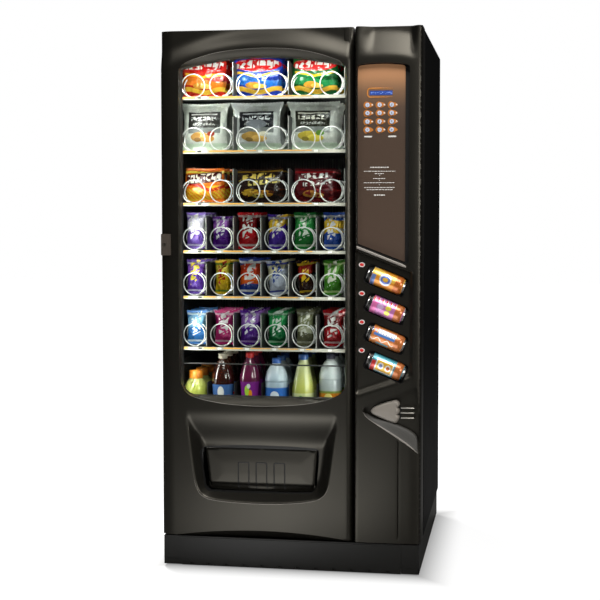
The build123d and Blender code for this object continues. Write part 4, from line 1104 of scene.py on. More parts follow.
store = Shape()
for row, c in enumerate(RAIL_Z):
    for k, x in enumerate(COIL_X):
        if row in (2, 3):
            s = Shape()
            helix(s, x, c + 45.5, row, k)
            o = s.build("tray%d_spiral_%d_wire" % (row + 1, k + 1), [M["wire"], M["rail"]], sharp=60, merge=0.01)
            piece(o, "turning_tray%d_spiral_%d" % (row + 1, k + 1), ["tray%d_spiral_%d" % (row + 1, k + 1)])
        else:
            helix(store, x, c + 45.5, row, k)
o = store.build("stored_spiral_wires", [M["wire"], M["rail"]], sharp=60, merge=0.01)
piece(o, "cabinet", ["stored_spirals"])

# bright front edges of the lane dividers: light grey strips as a painted highlight along each divider's front edge
de = Shape()
for row, c in enumerate(RAIL_Z):
    for j in range(7):
        if row < 3 and j % 2:
            continue
        x = -414.75 + 97.5 * j
        x = min(max(x, -419.0), 171.5)
        z0, z1 = c + 8.5, c + (122 if row < 3 else 118)
        loop = [(x - 0.9, -328.4), (x + 0.9, -328.4), (x + 0.9, -326.6), (x - 0.9, -326.6)]
        de.strip([(a, b, z0) for a, b in loop], [(a, b, z1) for a, b in loop])
        de.add([(a, b, z1) for a, b in loop], [(0, 1, 2, 3)])
o = de.build("divider_front_edges", [M["divider_edge"]], sharp=50)
piece(o, "cabinet")

# price labels and selection tabs on the rails
lb = Shape()
for row, c in enumerate(RAIL_Z):
    def tag(x0, x1, z0, z1, m, y=-333.35):
        p = rounded([(x0, z0), (x1, z0), (x1, z1), (x0, z1)], 1.0, 2)
        a = [(q[0], y, q[1]) for q in p]
        b = [(q[0], y - 0.6, q[1]) for q in p]
        lb.strip(a, b, mat=m)
        lb.add(b, [tuple(range(len(b)))], m)
    tag(-408, -352, c - 2.5, c + 4.0, 0)
    tag(-345, -332, c - 2.0, c + 3.0, 2)
    tag(-325, -180, c - 0.5, c + 4.2, 0)
    tag(-170, 60, c + 1.2, c + 4.2, 0)
    for j in range(6 if row > 2 else 3):
        xx = COIL_X[j] if row > 2 else (COIL_X[2 * j] + COIL_X[2 * j + 1]) / 2
        tag(xx - 7, xx + 7, c - 3.5, c + 4.6, 1, -334.6)
o = lb.build("price_labels", [M["label_amber"], M["label_white"], M["dark"]], sharp=50)
piece(o, "cabinet")

# full face of the control panel: round-cornered, nearly flat top
face = Shape()
PLATE = dense(rounded([(230, 1112), (388, 1052), (388, 1699), *arc3((380, 1702.5), (309, 1707), (238, 1702.5), 8), (230, 1699)],
                      [3, 3, 14] + [0] * 9 + [14], 5), 7)
face_hole = dense([(268, 1603.5), (346, 1603.5), (346, 1620.5), (268, 1620.5)], 8)
sheet_mesh(face, PLATE, [face_hole], [], lambda x, z: np.full(np.shape(x), 21.65), 14.0)
face.strip([(x, -428.35, z) for x, z in PLATE], [(x, -427.2, z) for x, z in PLATE])
face.strip([(x, -428.35, z) for x, z in face_hole], [(x, -427.0, z) for x, z in face_hole], flip=True)
o = face.build("panel_face", [M["panel"]], sharp=50)
piece(o, "outer_door")

# ------------------------------------------------------------------------------------------------
# panel print: instruction dashes, display outline, key digits
# ------------------------------------------------------------------------------------------------
pr = Shape()


def dash(x0, x1, z, h=2.0, m=0, y=-428.5):
    p = rounded([(x0, z - h / 2), (x1, z - h / 2), (x1, z + h / 2), (x0, z + h / 2)], h * 0.35, 2)
    a = [(q[0], y + 0.12, q[1]) for q in p]
    b = [(q[0], y - 0.12, q[1]) for q in p]
    pr.strip(a, b, mat=m)
    pr.add(b, [tuple(range(len(b)))], m)


random.seed(3)


def line_of_dashes(x0, x1, z, h):
    x = x0
    while x < x1 - 2:
        w = min(random.uniform(4, 11), x1 - x)
        dash(x, x + w, z, h)
        x += w + 1.4


for x0, x1, z, h in ((271, 333, 1366, 3.4), (250, 355, 1353, 2.2), (287, 317, 1345, 2.2), (301, 304, 1339, 2.0), (281, 321, 1329, 2.2),
                     (301, 304, 1323, 2.0), (250, 354, 1315, 2.2), (301, 304, 1308, 2.0), (251, 353, 1299, 2.2), (259, 346, 1292, 2.2), (284, 321, 1274, 4.0)):
    line_of_dashes(x0, x1, z, h)
dash(251, 277, 1468, 5.0)
dash(331, 358, 1468, 5.0)
o = pr.build("panel_print", [M["print_white"]], sharp=40)
piece(o, "outer_door")
dl = Shape()
outline = [(346, 1627), (275, 1627), (266, 1625), (262, 1619), (262, 1606), (266, 1600), (275, 1598), (346, 1598)]
line = catmull(outline, 4)
dl.tube([(x, -428.9, z) for x, z in line], [1.7 if x < 300 else max(0.35, 1.7 - (x - 300) * 0.03) for x, z in line], 8)
o = dl.build("display_outline", [M["print_orange"]], sharp=50)
piece(o, "outer_door")

n = 0
DIGITS = ["1", "2", "3", "4", "5", "6", "7", "8", "9", "0", "10", "20"]
tips = Shape()
for z in (1572.0, 1545.0, 1517.0, 1490.0):
    for x in (262.0, 302.5, 343.0):
        n += 1
        dg = bpy.data.curves.new("digit_%02d" % n, "FONT")
        dg.body = DIGITS[n - 1]
        dg.size = 0.0085 if len(DIGITS[n - 1]) == 1 else 0.0066
        dg.align_x, dg.align_y = "CENTER", "CENTER"
        dg.extrude = 0.0001
        dg.materials.append(M["dark"])
        ob = bpy.data.objects.new("key_digit_%02d" % n, dg)
        ob.matrix_world = Matrix.Translation((x / 1000, -0.43415, z / 1000)) @ Matrix.Rotation(math.pi / 2, 4, "X")
        SCENE.collection.objects.link(ob)
        piece(ob, "selection_key_%02d" % n)
        # cream dot at the right tip of each orange key surround: a painted highlight
        if n not in (10, 12):
            d = []
            for t in (0.0, 0.5, 1.0):
                rr = 2.6 * math.cos(t * math.pi / 2) + 0.02
                d.append([(x + 15.5 + rr * math.cos(a), -429.1 - 1.0 * math.sin(t * math.pi / 2), z + 0.6 + rr * math.sin(a))
                          for a in [2 * math.pi * q / 14 for q in range(14)]])
            for a, b in zip(d, d[1:]):
                tips.strip(a, b)
o = tips.build("key_pointer_dots", [M["label_white"]], sharp=60, merge=0.005)
piece(o, "outer_door")

# ------------------------------------------------------------------------------------------------
# finishes on the CAD pieces that stay in view
# ------------------------------------------------------------------------------------------------
FINISH = {
    "cabinet_shell": "cabinet", "rear_panel": "rear", "merch_liner": "liner", "plinth_frame": "plinth",
    "kick_plate": "plinth", "levelling_feet": "zinc", "hinge_brackets": "zinc", "wide_lane_trays": "tray",
    "narrow_lane_trays": "tray", "bottle_shelf": "tray", "lane_dividers": "tray", "price_rails": "rail",
    "spiral_motors": "motor", "compressor": "gloss_black", "cooling_coils": "fins", "coin_mechanism": "grey_plastic",
    "cash_box": "zinc", "control_board": "board", "door_frame": "frame", "window_glass": "glass",
    "control_panel": "panel", "display_module": "screen", "lock_plate": "lock", "delivery_bin": "bin",
    "door_lamps": "lamp", "lock_barrel": "barrel", "fan_rotor": "grey_plastic",
}
FINISH.update({"key_%02d" % i: "key" for i in range(1, 13)})
for node, m in FINISH.items():
    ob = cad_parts[node]
    ob.data.materials.clear()
    ob.data.materials.append(M[m])
    ob.data.polygons.foreach_set("material_index", np.zeros(len(ob.data.polygons), np.int32))
for node in ("key_%02d" % i for i in range(1, 13)):
    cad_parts[node].data.materials[0] = M["key"]


sk = Shape()
for x0, x1 in ((-440.0, -383.5), (380.5, 440.0)):
    loop = [(x0, -446.0), (x1, -446.0), (x1, -443.0), (x0, -443.0)]
    sk.strip([(x, y, 5.0) for x, y in loop], [(x, y, 25.0) for x, y in loop])
    sk.add([(x, y, 5.0) for x, y in loop], [(3, 2, 1, 0)])
for x0, x1 in ((-440.0, -437.0), (437.0, 440.0)):
    loop = [(x0, -446.0), (x1, -446.0), (x1, 440.0), (x0, 440.0)]
    sk.strip([(x, y, 5.0) for x, y in loop], [(x, y, 25.0) for x, y in loop])
    sk.add([(x, y, 5.0) for x, y in loop], [(3, 2, 1, 0)])
loop = [(-379.0, -437.0), (379.0, -437.0), (379.0, -435.5), (-379.0, -435.5)]
sk.strip([(x, y, 1.0) for x, y in loop], [(x, y, 34.0) for x, y in loop])
sk.add([(x, y, 1.0) for x, y in loop], [(3, 2, 1, 0)])
sk.add([(x, y, 34.0) for x, y in loop], [(0, 1, 2, 3)])
o = sk.build("plinth_skirt", [M["plinth"]], bevel=0.4)
piece(o, "cabinet")

# ------------------------------------------------------------------------------------------------
# contents: bags and bottles
# ------------------------------------------------------------------------------------------------
def value_noise(nu, nv, cells_u, cells_v, seed):
    r = np.random.default_rng(seed)
    g = r.normal(0, 1, (cells_v + 2, cells_u + 2))
    u = np.linspace(0, cells_u, nu)
    v = np.linspace(0, cells_v, nv)
    iu, iv = np.minimum(u.astype(int), cells_u), np.minimum(v.astype(int), cells_v)
    fu, fv = u - iu, v - iv
    fu, fv = fu * fu * (3 - 2 * fu), fv * fv * (3 - 2 * fv)
    a = g[np.ix_(iv, iu)] * (1 - fu) + g[np.ix_(iv, iu + 1)] * fu
    b = g[np.ix_(iv + 1, iu)] * (1 - fu) + g[np.ix_(iv + 1, iu + 1)] * fu
    return a * (1 - fv)[:, None] + b * fv[:, None]


def bag(name, x0, x1, z0, z1, y, depth, mat, seed=0, flare=0.0, lean=0.0, tilt=0.0, nu=37, nv=41):
    w, h = x1 - x0, z1 - z0
    xc, zc = (x0 + x1) / 2, (z0 + z1) / 2
    wr = value_noise(nu, nv, 5, 6, seed) * 0.55 + value_noise(nu, nv, 11, 13, seed + 1) * 0.3 + value_noise(nu, nv, 22, 5, seed + 2) * 0.16
    s = Shape()
    for side in (1, -1):
        rows, uvs = [], []
        for j in range(nv):
            v = j / (nv - 1)
            e = min(v, 1 - v)
            body = smooth(np.array((e - 0.055) / 0.30)) ** 0.62
            seal = 1.0 if e < 0.055 else 0.0
            pull = 1 - 0.055 * float(body) + flare * (smooth(np.array((v - 0.80) / 0.2)))
            row = []
            for i in range(nu):
                u = i / (nu - 1)
                q = abs(2 * u - 1)
                pr_ = max(0.0, 1 - q ** 2.4) ** 0.62
                t = 0.6 + depth / 2 * float(body) * pr_
                t += (0.05 * depth) * float(wr[j, i]) * min(1, pr_ * 1.6) * (0.35 + float(body)) * (1 - seal)
                if seal:
                    t += 0.45 * math.sin(u * w * 1.1 + (0.6 if side < 0 else 0))
                    if side < 0:
                        t = -t + 1.4
                pinch = 1 - 0.10 * (1 - float(body)) * q * (0 if flare else 1)
                dx = (u - 0.5) * w * float(pull) * pinch + 0.010 * w * float(wr[j, (i + 7) % nu])
                dz = (v - 0.5) * h + 0.008 * h * float(wr[(j + 5) % nv, i]) * (1 if 0.02 < v < 0.98 else 0.4)
                dz -= 0.018 * h * (1 - q * q) * (1 if v > 0.9 else 0)
                if j in (0, nv - 1):
                    dz += 0.9 * (1 if i % 2 else -1)
                c, sn = math.cos(tilt), math.sin(tilt)
                dx, dz = dx * c - dz * sn, dx * sn + dz * c
                row.append((xc + dx, y - side * t + lean * dz, zc + dz))
                uvs.append((u, v))
            rows.append(row)
        s.grid(rows, uv=uvs, flip=side < 0)
    ob = s.build(name, [mat], sharp=180, merge=0.0, outward=False)
    piece(ob, "cabinet")
    return ob


def again(ob, name, dy, dx=0.0, dz=0.0):
    two = bpy.data.objects.new(name, ob.data)
    two.location = (dx / 1000, dy / 1000, dz / 1000)
    SCENE.collection.objects.link(two)
    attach(two, "cabinet")
    return two


W, BK = (0.88, 0.88, 0.85), (0.02, 0.02, 0.025)


def banner(shade):
    """Generic block banner, ribbon and low wave for the top row."""
    return [("wave", shade, 0.34, 0.10, 0.06, 0.7, 1.2, 0.0), ("wave", (0.95, 0.62, 0.07), 0.15, 0.055, 0.045, 1.3, 0.5, 0.0),
            ("ell", (0.70, 0.36, 0.05), 0.44, 0.27, 0.17, 0.08), ("ell", (0.94, 0.66, 0.16), 0.56, 0.25, 0.13, 0.055),
            ("vee", (0.96, 0.62, 0.04), 0.5, 0.47, 0.20, 0.030, 0.42), ("vee", shade, 0.5, 0.43, 0.20, 0.014, 0.36),
            ("ell", (0.66, 0.02, 0.02), 0.5, 0.78, 0.49, 0.17), ("glyphs", (0.93, 0.92, 0.88), 7.4, 0.07, 0.93, 0.685, 0.885, 0.0)]


def pouch(field, food, leaf, ink_, lines):
    """Pale foil bag with a dark picture panel, two lines of blocks and a heap of food below."""
    out = [("rect", (0.74, 0.88, 0.70), 0.0, 1.0, 0.0, 0.14), ("blobs", (0.76, 0.80, 0.75), 5.0, 0.60, 0.10, 0.95),
           ("rect", field, 0.13, 0.87, 0.36, 0.80), ("rect", (0.30, 0.32, 0.31), 0.13, 0.87, 0.36, 0.47)]
    out += [("glyphs", ink_, 9.0, 0.20, 0.80, 0.62, 0.70, 0.0), ("glyphs", (0.62, 0.63, 0.60), 15.0, 0.24, 0.76, 0.52, 0.57, 0.0), ("rect", ink_, 0.20, 0.80, 0.74, 0.762)]
    out += [("ell", food, 0.40, 0.28, 0.22, 0.10), ("ell", tuple(min(0.95, q * 1.35) for q in food), 0.56, 0.24, 0.17, 0.075), ("ell", leaf, 0.66, 0.34, 0.09, 0.055),
            ("ell", tuple(q * 0.6 for q in food), 0.34, 0.22, 0.08, 0.045)]
    return out + lines


def bar(ink_, accent, edge=None, slope=0.0, cyc=6.0):
    """Flow-wrapped bar: crimped ends, a slanted patch and a column of blocks."""
    out = [("wave", accent, 0.50, 0.17, 0.10, 0.6, 0.8 + slope, 0.30 + slope)]
    if edge:
        out += [("rect", edge, 0.0, 1.0, 0.86, 0.925), ("rect", edge, 0.0, 1.0, 0.075, 0.13)]
    out += [("glyphs", ink_, cyc, 0.24, 0.78, 0.17, 0.84, 0.25 + slope)]
    return out


PACKS = {
    1: [((0.62, 0.035, 0.015), banner((0.80, 0.24, 0.02))), ((0.02, 0.06, 0.40), banner((0.03, 0.20, 0.62))), ((0.012, 0.14, 0.035), banner((0.03, 0.30, 0.10)))],
    2: [((0.90, 0.94, 0.86), pouch((0.05, 0.05, 0.045), (0.70, 0.40, 0.12), (0.50, 0.08, 0.04), W, [])),
        ((0.84, 0.87, 0.85), pouch((0.02, 0.022, 0.03), (0.72, 0.46, 0.14), (0.80, 0.76, 0.60), (0.80, 0.82, 0.84), [("ell", (0.30, 0.32, 0.35), 0.5, 0.54, 0.22, 0.09)])),
        ((0.90, 0.94, 0.87), pouch((0.045, 0.045, 0.03), (0.74, 0.60, 0.10), (0.16, 0.34, 0.05), (0.92, 0.90, 0.80), []))],
    3: [((0.84, 0.22, 0.02), [("rect", (0.88, 0.60, 0.04), 0.0, 1.0, 0.0, 0.38, 0.12), ("wave", (0.62, 0.03, 0.01), 0.44, 0.05, 0.09, 1.0, 0.3, 0.0),
                              ("stripes", (0.90, 0.30, 0.03), 9.0, 0.42, 0.9, 0.08, 0.40), ("wave", (0.96, 0.78, 0.12), 0.86, 0.04, 0.03, 1.0, 0.6, 0.0),
                              ("rect", (0.10, 0.01, 0.01), 0.06, 0.94, 0.50, 0.80, 0.10), ("glyphs", (0.95, 0.90, 0.78), 7.5, 0.09, 0.92, 0.54, 0.77, 0.10)]),
        ((0.035, 0.014, 0.010), [("glyphs", (0.86, 0.66, 0.16), 6.5, 0.10, 0.82, 0.62, 0.78, 0.12), ("glyphs", (0.90, 0.76, 0.26), 8.0, 0.30, 0.92, 0.44, 0.57, 0.12),
                                 ("ell", (0.80, 0.50, 0.05), 0.34, 0.28, 0.20, 0.11), ("ell", (0.62, 0.30, 0.03), 0.60, 0.24, 0.20, 0.10),
                                 ("ell", (0.92, 0.72, 0.16), 0.48, 0.18, 0.12, 0.07), ("blobs", (0.10, 0.03, 0.01), 9.0, 0.56, 0.10, 0.38), ("rect", (0.45, 0.26, 0.03), 0.0, 1.0, 0.88, 0.93)]),
        ((0.13, 0.006, 0.012), [("glyphs", W, 7.0, 0.12, 0.80, 0.62, 0.80, 0.14), ("glyphs", W, 8.0, 0.22, 0.92, 0.42, 0.55, 0.14),
                                ("ell", (0.62, 0.30, 0.06), 0.40, 0.24, 0.18, 0.10), ("ell", (0.80, 0.52, 0.14), 0.58, 0.20, 0.13, 0.07),
                                ("blobs", (0.30, 0.02, 0.02), 6.0, 0.55, 0.0, 0.40), ("rect", (0.50, 0.02, 0.03), 0.0, 1.0, 0.86, 0.92)])],
    4: [((0.22, 0.12, 0.50), bar(W, (0.80, 0.78, 0.90), (0.60, 0.55, 0.80))),
        ((0.14, 0.02, 0.34), bar((0.92, 0.90, 0.95), (0.46, 0.16, 0.66), (0.50, 0.34, 0.74), 0.1)),
        ((0.55, 0.015, 0.025), bar(W, (0.30, 0.005, 0.01), (0.80, 0.60, 0.58), 0.0, 5.0)),
        ((0.10, 0.04, 0.40), bar((0.94, 0.90, 0.80), (0.90, 0.60, 0.05), (0.62, 0.60, 0.86), 0.2)),
        ((0.02, 0.24, 0.05), bar((0.88, 0.94, 0.84), (0.05, 0.42, 0.10), (0.50, 0.72, 0.46), 0.0, 5.0)),
        ((0.04, 0.12, 0.50), bar(W, (0.90, 0.62, 0.06), (0.70, 0.74, 0.88), -0.1))],
    5: [((0.14, 0.05, 0.40), bar((0.96, 0.80, 0.10), (0.30, 0.12, 0.62), (0.70, 0.66, 0.86), 0.1, 4.6)),
        ((0.88, 0.60, 0.02), bar((0.52, 0.05, 0.01), (0.95, 0.80, 0.10), (0.24, 0.42, 0.06), 0.0, 6.0)),
        ((0.03, 0.07, 0.36), [("wave", (0.84, 0.16, 0.02), 0.50, 0.27, 0.04, 0.6, 0.5, 0.1)] + bar((0.96, 0.94, 0.92), (0.78, 0.08, 0.02), (0.86, 0.86, 0.90), 0.0, 4.4)),
        ((0.66, 0.70, 0.82), bar((0.05, 0.12, 0.50), (0.92, 0.86, 0.60), (0.10, 0.12, 0.46), 0.3, 6.0)),
        ((0.05, 0.018, 0.010), bar((0.94, 0.62, 0.03), (0.50, 0.03, 0.01), (0.84, 0.55, 0.04), 0.1, 4.2)),
        ((0.10, 0.36, 0.04), bar((0.92, 0.94, 0.80), (0.20, 0.55, 0.08), (0.60, 0.78, 0.34), 0.0, 4.6))],
    6: [((0.06, 0.26, 0.64), bar((0.90, 0.95, 0.98), (0.30, 0.60, 0.86), (0.70, 0.86, 0.94), 0.0, 5.0)),
        ((0.72, 0.06, 0.28), bar((0.97, 0.90, 0.93), (0.40, 0.01, 0.16), (0.92, 0.60, 0.74), 0.0, 5.0)),
        ((0.12, 0.02, 0.32), bar((0.93, 0.90, 0.97), (0.42, 0.20, 0.66), (0.50, 0.32, 0.74), 0.15, 6.0)),
        ((0.01, 0.22, 0.07), bar((0.86, 0.96, 0.88), (0.04, 0.44, 0.14), (0.40, 0.70, 0.46), 0.1, 4.6)),
        ((0.20, 0.20, 0.12), [("wave", (0.56, 0.57, 0.42), 0.50, 0.14, 0.03, 0.6, 0.5, 0.0)] + bar((0.82, 0.82, 0.72), (0.34, 0.36, 0.20), (0.52, 0.52, 0.40), 0.0, 5.6)),
        ((0.52, 0.01, 0.02), bar((0.96, 0.92, 0.90), (0.24, 0.0, 0.005), (0.86, 0.60, 0.58), 0.0, 4.4))],
}
BOXES = {
    1: [(-421, -253, 1623, 1762), (-239, -53, 1620, 1764), (-28, 142, 1617, 1760)],
    2: [(-417, -254, 1437, 1602), (-236, -61, 1435, 1603), (-35, 138, 1434, 1603)],
    3: [(-414, -262, 1250, 1374), (-236, -47, 1250, 1372), (-21, 138, 1253, 1371)],
    4: [(-407, -334, 1085, 1218), (-312, -246, 1086, 1204), (-220, -143, 1086, 1218), (-112, -38, 1086, 1211), (-20, 62, 1087, 1218), (85, 149, 1087, 1218)],
    5: [(-407, -336, 920, 1051), (-303, -245, 921, 1048), (-216, -130, 918, 1056), (-113, -34, 919, 1049), (-5, 56, 920, 1050), (85, 153, 921, 1050)],
    6: [(-407, -332, 741, 870), (-306, -232, 743, 871), (-214, -132, 744, 872), (-113, -36, 746, 873), (-10, 57, 748, 878), (84, 158, 749, 875)],
}
for row in range(1, 7):
    pitch = 70.0 if row < 4 else 55.0
    for k, (x0, x1, z0, z1) in enumerate(BOXES[row]):
        base, layers = PACKS[row][k]
        if row > 3:
            x0, x1 = x0 + 0.06 * (x1 - x0), x1 - 0.06 * (x1 - x0)
        m = printed("pack_print_%d_%d" % (row, k + 1), base, layers, deep=1.18, coat=0.5, rough=0.24, crinkle=0.6 if row < 4 else 0.5, scale=26.0 if row < 4 else 40.0,
                    metal=0.25 if row > 3 else 0.12)
        z0 = max(z0, RAIL_Z[row - 1] + 8.5)
        ob = bag("tray%d_pack_%d" % (row, k + 1), x0, x1, z0, z1, -292 + pitch * 0.5, pitch * (0.66 if row < 4 else 0.5), m,
                 seed=row * 20 + k * 3, flare=0.09 if row == 2 else 0.07 if row > 3 else 0.0,
                 tilt={(5, 4): 0.10, (5, 5): 0.10, (1, 1): -0.02, (3, 2): 0.03}.get((row, k + 1), 0.0), lean=0.04)
        for j in range(1, 3 if row < 4 else 4):
            again(ob, "tray%d_pack_%d_behind_%d" % (row, k + 1, j), pitch * j * (1.0 if row < 4 else 1.0), dx=random.uniform(-3, 3))

M["drink_dark"] = surface("drink_dark", (0.035, 0.012, 0.008), 0.10, 0.0, 0.3, 200, 0.02, 0.0001, coat=0.8)


def drink(name, body, layers, rough=0.10):
    return printed(name, body, layers, rough=rough, crinkle=0.03, coat=1.0, deep=1.3)


BOTTLES = [
    # x, radius, top, profile kind, cap colour, body print
    (-366, 42, 659, "squat", (0.90, 0.28, 0.02), ([(0.0, (0.42, 0.55, 0.10)), (0.75, (0.62, 0.66, 0.18)), (1.0, (0.50, 0.52, 0.22))],
     [("rect", (0.88, 0.56, 0.10), -1, 2, 0.16, 0.50), ("ell", (0.40, 0.58, 0.10), 0.72, 0.33, 0.05, 0.12), ("ell", (0.90, 0.86, 0.60), 0.79, 0.33, 0.03, 0.07)])),
    (-268.5, 40, 721, "cola", (0.62, 0.55, 0.42), ([(0.0, (0.05, 0.012, 0.008)), (0.8, (0.07, 0.02, 0.012)), (1.0, (0.12, 0.06, 0.04))],
     [("rect", (0.12, 0.24, 0.50), -1, 2, 0.30, 0.56), ("ell", W, 0.75, 0.43, 0.05, 0.10), ("wave", (0.70, 0.05, 0.05), 0.34, 0.02, 0.02, 6.0, 0.0, 0.0)])),
    (-171, 36, 726, "cola", (0.70, 0.02, 0.02), ([(0.0, (0.14, 0.02, 0.06)), (0.8, (0.20, 0.03, 0.10)), (1.0, (0.22, 0.06, 0.12))],
     [("rect", (0.30, 0.05, 0.34), -1, 2, 0.28, 0.60), ("ell", (0.50, 0.74, 0.10), 0.73, 0.45, 0.04, 0.09), ("ell", (0.90, 0.40, 0.05), 0.79, 0.40, 0.03, 0.07), ("ell", W, 0.76, 0.53, 0.03, 0.04)])),
    (-75, 41, 707, "water", (0.05, 0.16, 0.55), ([(0.0, (0.42, 0.55, 0.66)), (0.7, (0.52, 0.62, 0.70)), (1.0, (0.66, 0.72, 0.76))],
     [("rect", (0.08, 0.24, 0.62), -1, 2, 0.26, 0.56), ("ell", (0.84, 0.90, 0.96), 0.75, 0.42, 0.06, 0.08), ("wave", (0.84, 0.90, 0.96), 0.30, 0.015, 0.02, 5.0, 0.0, 0.0)])),
    (20, 42, 722, "cone", (0.03, 0.10, 0.34), ([(0.0, (0.46, 0.50, 0.10)), (0.55, (0.60, 0.62, 0.20)), (1.0, (0.62, 0.66, 0.40))],
     [("rect", (0.72, 0.76, 0.44), -1, 2, 0.18, 0.44), ("ell", (0.16, 0.40, 0.12), 0.74, 0.31, 0.05, 0.09), ("ell", (0.85, 0.80, 0.15), 0.79, 0.27, 0.03, 0.05)])),
    (117, 41, 727, "water", (0.04, 0.04, 0.07), ([(0.0, (0.50, 0.56, 0.56)), (0.7, (0.60, 0.66, 0.66)), (1.0, (0.70, 0.74, 0.74))],
     [("rect", (0.80, 0.34, 0.05), -1, 2, 0.20, 0.46), ("ell", (0.90, 0.80, 0.30), 0.74, 0.35, 0.06, 0.09), ("rect", (0.35, 0.44, 0.12), -1, 2, 0.44, 0.48)])),
]
PROFILES = {
    "squat": [(0.0, 0.0), (0.80, 0.0), (0.97, 0.03), (1.0, 0.08), (0.98, 0.20), (0.93, 0.30), (0.96, 0.42), (1.0, 0.52), (0.98, 0.62), (0.85, 0.72), (0.62, 0.80), (0.52, 0.83)],
    "cola": [(0.0, 0.0), (0.66, 0.0), (0.92, 0.02), (1.0, 0.06), (1.0, 0.14), (0.93, 0.22), (0.91, 0.34), (0.95, 0.46), (1.0, 0.56), (0.97, 0.64), (0.82, 0.74), (0.58, 0.84), (0.40, 0.90), (0.35, 0.92)],
    "water": [(0.0, 0.0), (0.72, 0.0), (0.94, 0.02), (1.0, 0.06), (0.98, 0.16), (1.0, 0.20), (1.0, 0.56), (0.97, 0.60), (1.0, 0.64), (0.86, 0.76), (0.58, 0.86), (0.38, 0.90), (0.35, 0.92)],
    "cone": [(0.0, 0.0), (0.74, 0.0), (0.95, 0.02), (1.0, 0.07), (1.0, 0.16), (0.95, 0.20), (0.97, 0.40), (0.90, 0.50), (0.74, 0.64), (0.56, 0.78), (0.40, 0.88), (0.36, 0.92)],
}
SHELF = 498.0
for k, (x, r, top, kind, cap, (body, layers)) in enumerate(BOTTLES):
    s = Shape()
    hgt = top - SHELF
    prof = catmull([(a * r, b * hgt) for a, b in PROFILES[kind]], 5)
    body_h = prof[-1][1]
    s.lathe([(a, b, 0) for a, b in prof], (x, -286.0, SHELF + 0.4), Matrix.Identity(3), seg=48)
    neck = prof[-1][0] + 1.6
    o0 = len(s.v)
    n_seg = 60
    rings = [(neck, body_h - 1.0), (neck + 0.2, body_h + 1.0), (neck + 0.2, hgt - 2.0), (neck - 1.0, hgt - 0.4), (neck * 0.5, hgt), (0.01, hgt)]
    rows = []
    for q, hh in rings:
        rows.append([(x + (q + (0.35 if i % 2 and 0 < q - neck + 0.5 < 1 else 0)) * math.cos(2 * math.pi * i / n_seg), -286.0 +
                      (q + (0.35 if i % 2 and 0 < q - neck + 0.5 < 1 else 0)) * math.sin(2 * math.pi * i / n_seg), SHELF + 0.4 + hh) for i in range(n_seg + 1)])
    s.grid(rows, mat=1)
    bm_ = drink("drink_print_%d" % (k + 1), body, layers)
    cp = surface("bottle_cap_%d" % (k + 1), cap, 0.35, 0.0, 0.1, 900, 0.1, 0.0002, coat=0.3)
    ob = s.build("bottle_%d" % (k + 1), [bm_, cp], sharp=50, merge=0.01)
    piece(ob, "cabinet")
    for j in (1, 2):
        again(ob, "bottle_%d_behind_%d" % (k + 1, j), 2 * r * 1.04 * j, dx=random.uniform(-2, 2))

# ------------------------------------------------------------------------------------------------
# floor, world, lights, camera
# ------------------------------------------------------------------------------------------------
POOL = 3.5
fm = Nodes("studio_floor")
slow = fm.noise(1.2, 3.0, fm.obj())
fm.set(fm.b.inputs["Base Color"], fm.mix(slow, (0.13, 0.13, 0.13), (0.15, 0.15, 0.15)))
fm.b.inputs["Roughness"].default_value = 0.6
fm.b.inputs["Emission Color"].default_value = (1, 1, 1, 1)
fx, fy, fz = fm.xyz(fm.obj())
# the camera sees the floor glowing near white, dimmed under and around the machine's footprint as a painted contact
# shadow
away = fm.math("MAXIMUM", fm.math("SUBTRACT", fm.math("ABSOLUTE", fx), 0.45), fm.math("SUBTRACT", fm.math("ABSOLUTE", fy), 0.45))
ring_ = fm.math("MULTIPLY_ADD", fm.step(away, 0.02, 0.10), 0.82, fm.math("MULTIPLY_ADD", fm.step(away, 1.1, 0.9), 0.30, fm.math("MULTIPLY", fm.step(away, -0.02, 0.01), 0.11)))
# pool: a painted pool of light in front of the machine, seen only by reflection and bounce rays, where it also lights
# the lower fascia
px, py = fm.math("SUBTRACT", fx, -0.18), fm.math("MULTIPLY", fm.math("ADD", fy, 1.45), 0.6)
pool = fm.math("SUBTRACT", 1.0, fm.step(fm.math("SQRT", fm.math("ADD", fm.math("MULTIPLY", px, px), fm.math("MULTIPLY", py, py))), 0.37, 0.26))
eye = fm.n("LightPath").outputs["Is Camera Ray"]
fm.set(fm.b.inputs["Emission Strength"], fm.math("ADD", fm.math("MULTIPLY", eye, ring_), fm.math("MULTIPLY", fm.math("MULTIPLY", fm.math("SUBTRACT", 1.0, eye), pool), POOL)))
fl_me = bpy.data.meshes.new("floor")
N = 40
gx = np.linspace(-14, 14, N)
vv = [(float(a), float(b) + 4, 0.0) for b in gx for a in gx]
ff = [(j * N + i, j * N + i + 1, (j + 1) * N + i + 1, (j + 1) * N + i) for j in range(N - 1) for i in range(N - 1)]
fl_me.from_pydata(vv, [], ff)
fl_me.materials.append(fm.mat)
floor = bpy.data.objects.new("floor", fl_me)
SCENE.collection.objects.link(floor)
floor.location.z = -0.0005

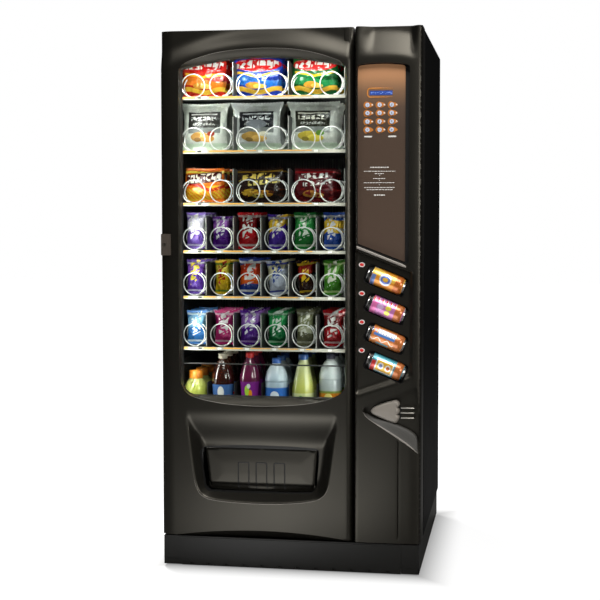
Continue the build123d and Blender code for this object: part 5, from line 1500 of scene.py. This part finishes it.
world = bpy.data.worlds.new("studio")
SCENE.world = world
world.use_nodes = True
wt = world.node_tree
wt.nodes.clear()
wo = wt.nodes.new("ShaderNodeOutputWorld")
seen = wt.nodes.new("ShaderNodeBackground")
seen.inputs[0].default_value = (1, 1, 1, 1)
seen.inputs[1].default_value = 1.0
fill = wt.nodes.new("ShaderNodeBackground")
fill.inputs[0].default_value = (1, 0.985, 0.96, 1)
fill.inputs[1].default_value = 0.028
lp = wt.nodes.new("ShaderNodeLightPath")
mx = wt.nodes.new("ShaderNodeMixShader")
wt.links.new(lp.outputs["Is Camera Ray"], mx.inputs[0])
wt.links.new(fill.outputs[0], mx.inputs[1])
wt.links.new(seen.outputs[0], mx.inputs[2])
wt.links.new(mx.outputs[0], wo.inputs[0])


def area(name, loc, target, size, power, color=(1, 1, 1), body=None, size_y=None, spread=None):
    """An area light; place and target in metres."""
    l = bpy.data.lights.new(name, "AREA")
    l.energy = power
    l.color = color
    l.size = size
    if size_y:
        l.shape = "RECTANGLE"
        l.size_y = size_y
    if spread:
        l.spread = spread
    ob = bpy.data.objects.new(name, l)
    ob.location = loc
    ob.rotation_euler = (Vector(target) - Vector(loc)).to_track_quat("-Z", "Y").to_euler()
    SCENE.collection.objects.link(ob)
    ob.visible_camera = False
    if body:
        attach(ob, body)
    return ob


area("key_top", (1.0, -2.9, 4.2), (0.0, -0.2, 1.0), 2.0, 132, (1.0, 0.98, 0.95))
area("key_left", (-1.55, -2.9, 4.2), (-0.4, -0.3, 1.6), 0.6, 14, (1.0, 0.98, 0.95))
area("back_left", (-2.4, 3.0, 2.8), (0.0, 0.2, 0.9), 1.6, 320, (1.0, 0.99, 0.97))
area("key_right", (2.7, -3.2, 1.5), (0.0, -0.45, 0.7), 1.1, 40, (1.0, 0.98, 0.94))
for sx in (-1, 1):
    area("window_tube_%s" % ("left" if sx < 0 else "right"), (-0.095 + sx * 0.300, -0.385, 1.15), (-0.095 + sx * 0.02, -0.25, 1.15), 0.016, 2.6,
         (1.0, 0.98, 0.94), "outer_door", size_y=1.05)
area("window_top_light", (-0.095, -0.385, 1.735), (-0.095, -0.20, 1.20), 0.5, 1.8, (1.0, 0.98, 0.94), "outer_door", size_y=0.012)

cam = bpy.data.cameras.new("front_camera")
cam.sensor_width = 36.0
cam.lens = 74.955
cam.shift_x = -0.0333
cam.shift_y = -0.0333
cam.clip_end = 60
cob = bpy.data.objects.new("front_camera", cam)
cob.location = (0.7711, -4.5716, 1.2031)
cob.rotation_euler = (math.pi / 2 - 0.0509, -0.0003, 0.1601)
SCENE.collection.objects.link(cob)
SCENE.camera = cob
SCENE.view_settings.view_transform = "Standard"
SCENE.view_settings.look = "None"
SCENE.view_settings.exposure = 0.0
